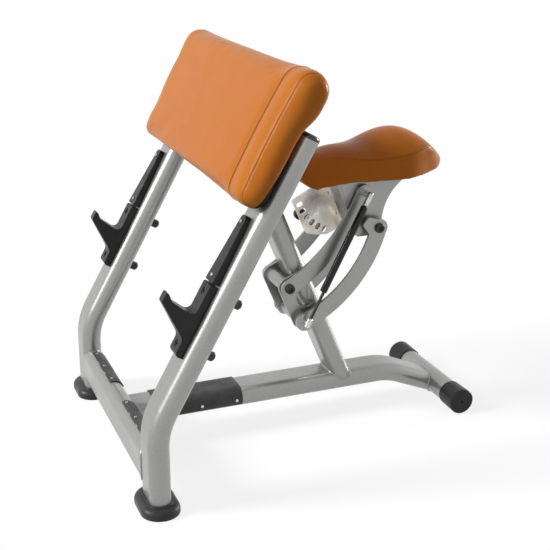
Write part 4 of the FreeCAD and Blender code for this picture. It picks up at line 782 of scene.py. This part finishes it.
def nearest(spots, points):
    """Distance from each point to the nearest of some spots, and which one it is."""
    tree = KDTree(len(spots))
    for k, spot in enumerate(spots):
        tree.insert(spot, k)
    tree.balance()
    found = [tree.find(point)[1:] for point in points]
    return np.array([away for _, away in found]), np.array([k for k, _ in found])


def on_slope(points):
    """Distances up the uprights' slope and off its face."""
    return (points - SLOPE_START) @ UP_SLOPE, (points - SLOPE_START) @ OFF_SLOPE


def arm_pad_cover():
    cover = cover_blank("arm_pad", "arm_pad_cover", PAD_VOXEL, PAD_LOFT)
    points = coords(cover.data)
    rise, off = on_slope(points)
    glued = (off < PAD_BACK_OFF) & (rise < PAD_BACK_TOP)
    sewn_here = np.abs(points[:, 0] - END_SEAM_X) < PAD_VOXEL * PAD_SEWN_SHARE
    plump(cover, glued | sewn_here, PAD_PRESSURE, PAD_SWELL)
    smoothed(cover, PAD_EVEN_ROUNDS)
    seams = np.array((END_SEAM_X, SIDE_SEAM_X, FAR_CREASE_X))
    refine(cover, np.abs(coords(cover.data)[:, :1] - seams).min(axis=1) < SEAM_REFINE)
    points = coords(cover.data)
    out = normals(cover.data)
    end, side, far = (points[:, 0] - seam for seam in seams)
    rise, off = on_slope(points)
    shown = np.maximum(np.clip((off - PAD_BACK_OFF) / PAD_SHOWN_FADE, 0, 1), rise > PAD_BACK_TOP)
    lift = sewn(end) + sewn(side) * SIDE_SEAM_SHARE - dip(far, CREASE_DEPTH, CREASE_WIDTH)
    put_coords(cover.data, points + out * (lift * shown)[:, None])
    # Painted shade in the seam grooves and along the far crease
    dark = np.minimum(1.0, dip(end, END_SEAM_DARK, SEAM_WIDTH * END_DARK_WIDTH))
    dark = dark + dip(side, SIDE_SEAM_DARK, SEAM_WIDTH * SIDE_DARK_WIDTH)
    dark = dark + dip(far, FAR_CREASE_DARK, CREASE_WIDTH * FAR_DARK_WIDTH)
    mark(cover.data, "painted_seam_shade", shown * dark)
    # Black on the pad's back as lining cloth, carried past the glued back as a band of painted shade along the lower
    # rear edge
    border = PAD_LINING_AND_SHADE_OFF - PAD_LINING_AND_SHADE_TAPER * (rise - rise.min())
    mark(cover.data, "lining_and_painted_shade", np.clip((border - off) / PAD_LINING_AND_SHADE_FADE + 0.5, 0, 1) * (rise < PAD_BACK_TOP))
    cover.data.shade_smooth()
    fit_out(cover, "frame", FINISHES["upholstery"])
    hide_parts("arm_pad")

    def in_view(spot):
        up, out = on_slope(spot)
        return out > PAD_LINING_AND_SHADE_OFF or up > PAD_BACK_TOP

    level = coords(cover.data)[:, 0] - END_SEAM_X - LIP_PLACE
    row = stitch_row("arm_pad_stitches", cover, line_on(cover.data, level), in_view)
    fit_out(row, "frame", SEAM_THREAD)


def seat_cover():
    cover = cover_blank("seat_cushion", "seat_cover", SEAT_VOXEL, SEAT_LOFT)
    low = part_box("seat_cushion")[0]
    edges = sharp_edges("seat_cushion", SEAT_SEAM_TURN, lambda spot: spot.z > low.z + SEAT_SEAM_RISE)
    spots, turns = [], []
    for first, second, out, turn in edges:
        first, second = (np.array(end) + np.array(out) * SEAT_LOFT for end in (first, second))
        steps = np.linspace(0, 1, 2 + int(np.linalg.norm(second - first) / MM))
        spots += [first + (second - first) * step for step in steps]
        turns += [turn] * len(steps)
    turns = np.array(turns)
    held = coords(cover.data)[:, 2] < low.z + SEAT_HELD_RISE
    away, _ = nearest(spots, coords(cover.data))
    plump(cover, held | (away < SEAT_VOXEL * SEAT_SEWN_SHARE), SEAT_PRESSURE, SEAT_SWELL)
    smoothed(cover, SEAT_EVEN_ROUNDS)
    away, _ = nearest(spots, coords(cover.data))
    refine(cover, away < SEAM_REFINE)
    points = coords(cover.data)
    away, which = nearest(spots, points)
    full = np.clip((turns[which] - SEAT_SEAM_TURN) / (SEAT_SEAM_FULL_TURN - SEAT_SEAM_TURN), 0, 1)
    drawn = dip(away, SEAM_DEPTH * SEAT_SEAM_SHARE, SEAM_WIDTH) * full
    put_coords(cover.data, points - normals(cover.data) * drawn[:, None])
    # Painted shade along the seat's seam groove
    mark(cover.data, "painted_seam_shade", dip(away, SEAT_SEAM_DARK, SEAM_WIDTH) * full)
    under = (normals(cover.data)[:, 2] < UNDERSIDE_FACING) & (points[:, 2] < low.z + SEAT_HELD_RISE)
    mark(cover.data, "lining_and_painted_shade", under.astype(float))
    cover.data.shade_smooth()
    fit_out(cover, "seat_carriage", SEAT_LEATHER)
    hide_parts("seat_cushion")


# Welds
def rim_of(node, wanted):
    """The longest closed line of sharp edges at one end of a tube."""
    beside, place_of = {}, {}
    for first, second, _, _ in sharp_edges(node, WELD_TURN, wanted):
        keys = [tuple(round(c / SPOT_STEP) for c in spot) for spot in (first, second)]
        for key, other, spot in zip(keys, keys[::-1], (first, second)):
            beside.setdefault(key, []).append(other)
            place_of[key] = spot
    best, unused = None, set(beside)
    while unused:
        here = min(unused)
        line = [here]
        unused.discard(here)
        while True:
            onward = sorted(key for key in beside[here] if key in unused)
            if not onward:
                break
            here = onward[0]
            unused.discard(here)
            line.append(here)
        spots = np.array([place_of[key] for key in line + line[:1]])
        length = np.linalg.norm(np.diff(spots, axis=0), axis=1).sum()
        if best is None or length > best[0]:
            best = (length, spots)
    return best[1]


def weld(name, node, wanted):
    """A rippled bead around the end of a tube, where it meets the one that it is welded to."""
    line = spaced(rim_of(node, wanted), WELD_STEP)
    middle = line.mean(axis=0)
    axis = Vector(np.cross(line - middle, np.roll(line, -1, axis=0) - middle).sum(axis=0)).normalized()
    bm = bmesh.new()
    rings = []
    for k, centre in enumerate(line):
        ahead = Vector(line[(k + 1) % len(line)] - line[k - 1]).normalized()
        run = k * WELD_STEP / WELD_PITCH
        wander = WELD_WANDER * math.sin(run * WELD_WANDER_RATE + WELD_WANDER_START)
        radius = WELD_RADIUS * (WELD_LEAST + WELD_RIPPLE * abs(math.sin(math.pi * run)) + wander)
        rings.append(ring_around(bm, centre, ahead, axis.cross(ahead).normalized(), radius, WELD_SIDES))
    for low, high in zip(rings, rings[1:] + rings[:1]):
        skin_between(bm, low, high)
    bmesh.ops.recalc_face_normals(bm, faces=bm.faces)
    fit_out(piece_from(name, bm), "frame", FINISHES["powder_coat"])


def frame_welds():
    for name, node, axis, least in WELDS:
        low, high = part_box(node)
        middle = (low[axis] + high[axis]) / 2
        weld(name, node, lambda spot: (spot[axis] - middle) / least > 1)


# Studio
CAMERA_PLACE = (2.4346, -0.9866, 1.3185)
CAMERA_TARGET = (0.0, -0.0178, 0.3889)
CAMERA_ROLL = math.radians(0.11)
CAMERA_LENS = 72.33
CAMERA_SENSOR = 36.0
CAMERA_REACH = 200.0
KEY_WAY = (0.16, 0.83, -0.52)
KEY_SPREAD = math.radians(18)
KEY_STRENGTH = 2.55
FILL_WAY = (-0.72, 0.5, -0.48)
FILL_SPREAD = math.radians(30)
FILL_STRENGTH = 0.12
BACK_WAY = (0.2, -0.97, -0.08)
BACK_SPREAD = math.radians(20)
BACK_STRENGTH = 2.2
AMBIENT_LEVEL = 0.2
FLOOR_SIZE = 60.0
FLOOR_DROP = 0.5 * MM
FLOOR_TINT = 0.42
FLOOR_LIT = 0.68
FLOOR_SHADOW_SHARE = 0.3


def point_at(obj, way, roll=0.0):
    obj.rotation_euler = Vector(way).to_track_quat("-Z", "Y").to_euler()
    obj.rotation_euler.rotate_axis("Z", roll)


def photo_camera():
    data = bpy.data.cameras.new("photo_camera")
    data.sensor_width = CAMERA_SENSOR
    data.lens = CAMERA_LENS
    data.clip_end = CAMERA_REACH
    camera = bpy.data.objects.new("photo_camera", data)
    scene.collection.objects.link(camera)
    camera.location = CAMERA_PLACE
    point_at(camera, Vector(CAMERA_TARGET) - Vector(CAMERA_PLACE), CAMERA_ROLL)
    scene.camera = camera


def shows_background(tree):
    """One for rays that show the background: straight, mirrored in metal or through glass."""
    rays = place(tree, "ShaderNodeLightPath").outputs
    shown = maths(tree, "MAXIMUM", rays["Is Camera Ray"], rays["Is Glossy Ray"])
    return maths(tree, "MAXIMUM", shown, rays["Is Transmission Ray"])


def studio_world():
    """White wherever it is seen, and a plain level where it lights the object."""
    world = bpy.data.worlds.new("studio")
    scene.world = world
    tree = clean_tree(world)
    strength = spread(tree, shows_background(tree), AMBIENT_LEVEL, 1.0)
    light = place(tree, "ShaderNodeBackground", {"Color": WHITE, "Strength": strength})
    place(tree, "ShaderNodeOutputWorld", {"Surface": light.outputs[0]})


def soft_sun(name, way, breadth, strength):
    data = bpy.data.lights.new(name, "SUN")
    data.energy = strength
    data.angle = breadth
    lamp = bpy.data.objects.new(name, data)
    scene.collection.objects.link(lamp)
    point_at(lamp, way)


def pale_floor():
    bm = bmesh.new()
    bmesh.ops.create_grid(bm, x_segments=1, y_segments=1, size=FLOOR_SIZE / 2)
    floor = piece_from("studio_floor", bm)
    floor.location.z = -FLOOR_DROP
    finish = bpy.data.materials.new("studio_floor")
    tree = clean_tree(finish)
    shown = shows_background(tree)
    tint = blended(tree, shown, (FLOOR_TINT,) * 3 + (1,), (FLOOR_SHADOW_SHARE,) * 3 + (1,))
    matt = place(tree, "ShaderNodeBsdfDiffuse", {"Color": tint})
    glow = maths(tree, "MULTIPLY", shown, 1 - FLOOR_SHADOW_SHARE * FLOOR_LIT)
    white = place(tree, "ShaderNodeEmission", {"Color": WHITE, "Strength": glow})
    both = place(tree, "ShaderNodeAddShader", {0: matt.outputs[0], 1: white.outputs[0]})
    place(tree, "ShaderNodeOutputMaterial", {"Surface": both.outputs[0]})
    floor.data.materials.append(finish)


dress_frame()
arm_pad_cover()
seat_cover()
frame_welds()
photo_camera()
studio_world()
soft_sun("key_lamp", KEY_WAY, KEY_SPREAD, KEY_STRENGTH)
soft_sun("fill_lamp", FILL_WAY, FILL_SPREAD, FILL_STRENGTH)
soft_sun("back_lamp", BACK_WAY, BACK_SPREAD, BACK_STRENGTH)
pale_floor()
scene.view_settings.view_transform = "Standard"
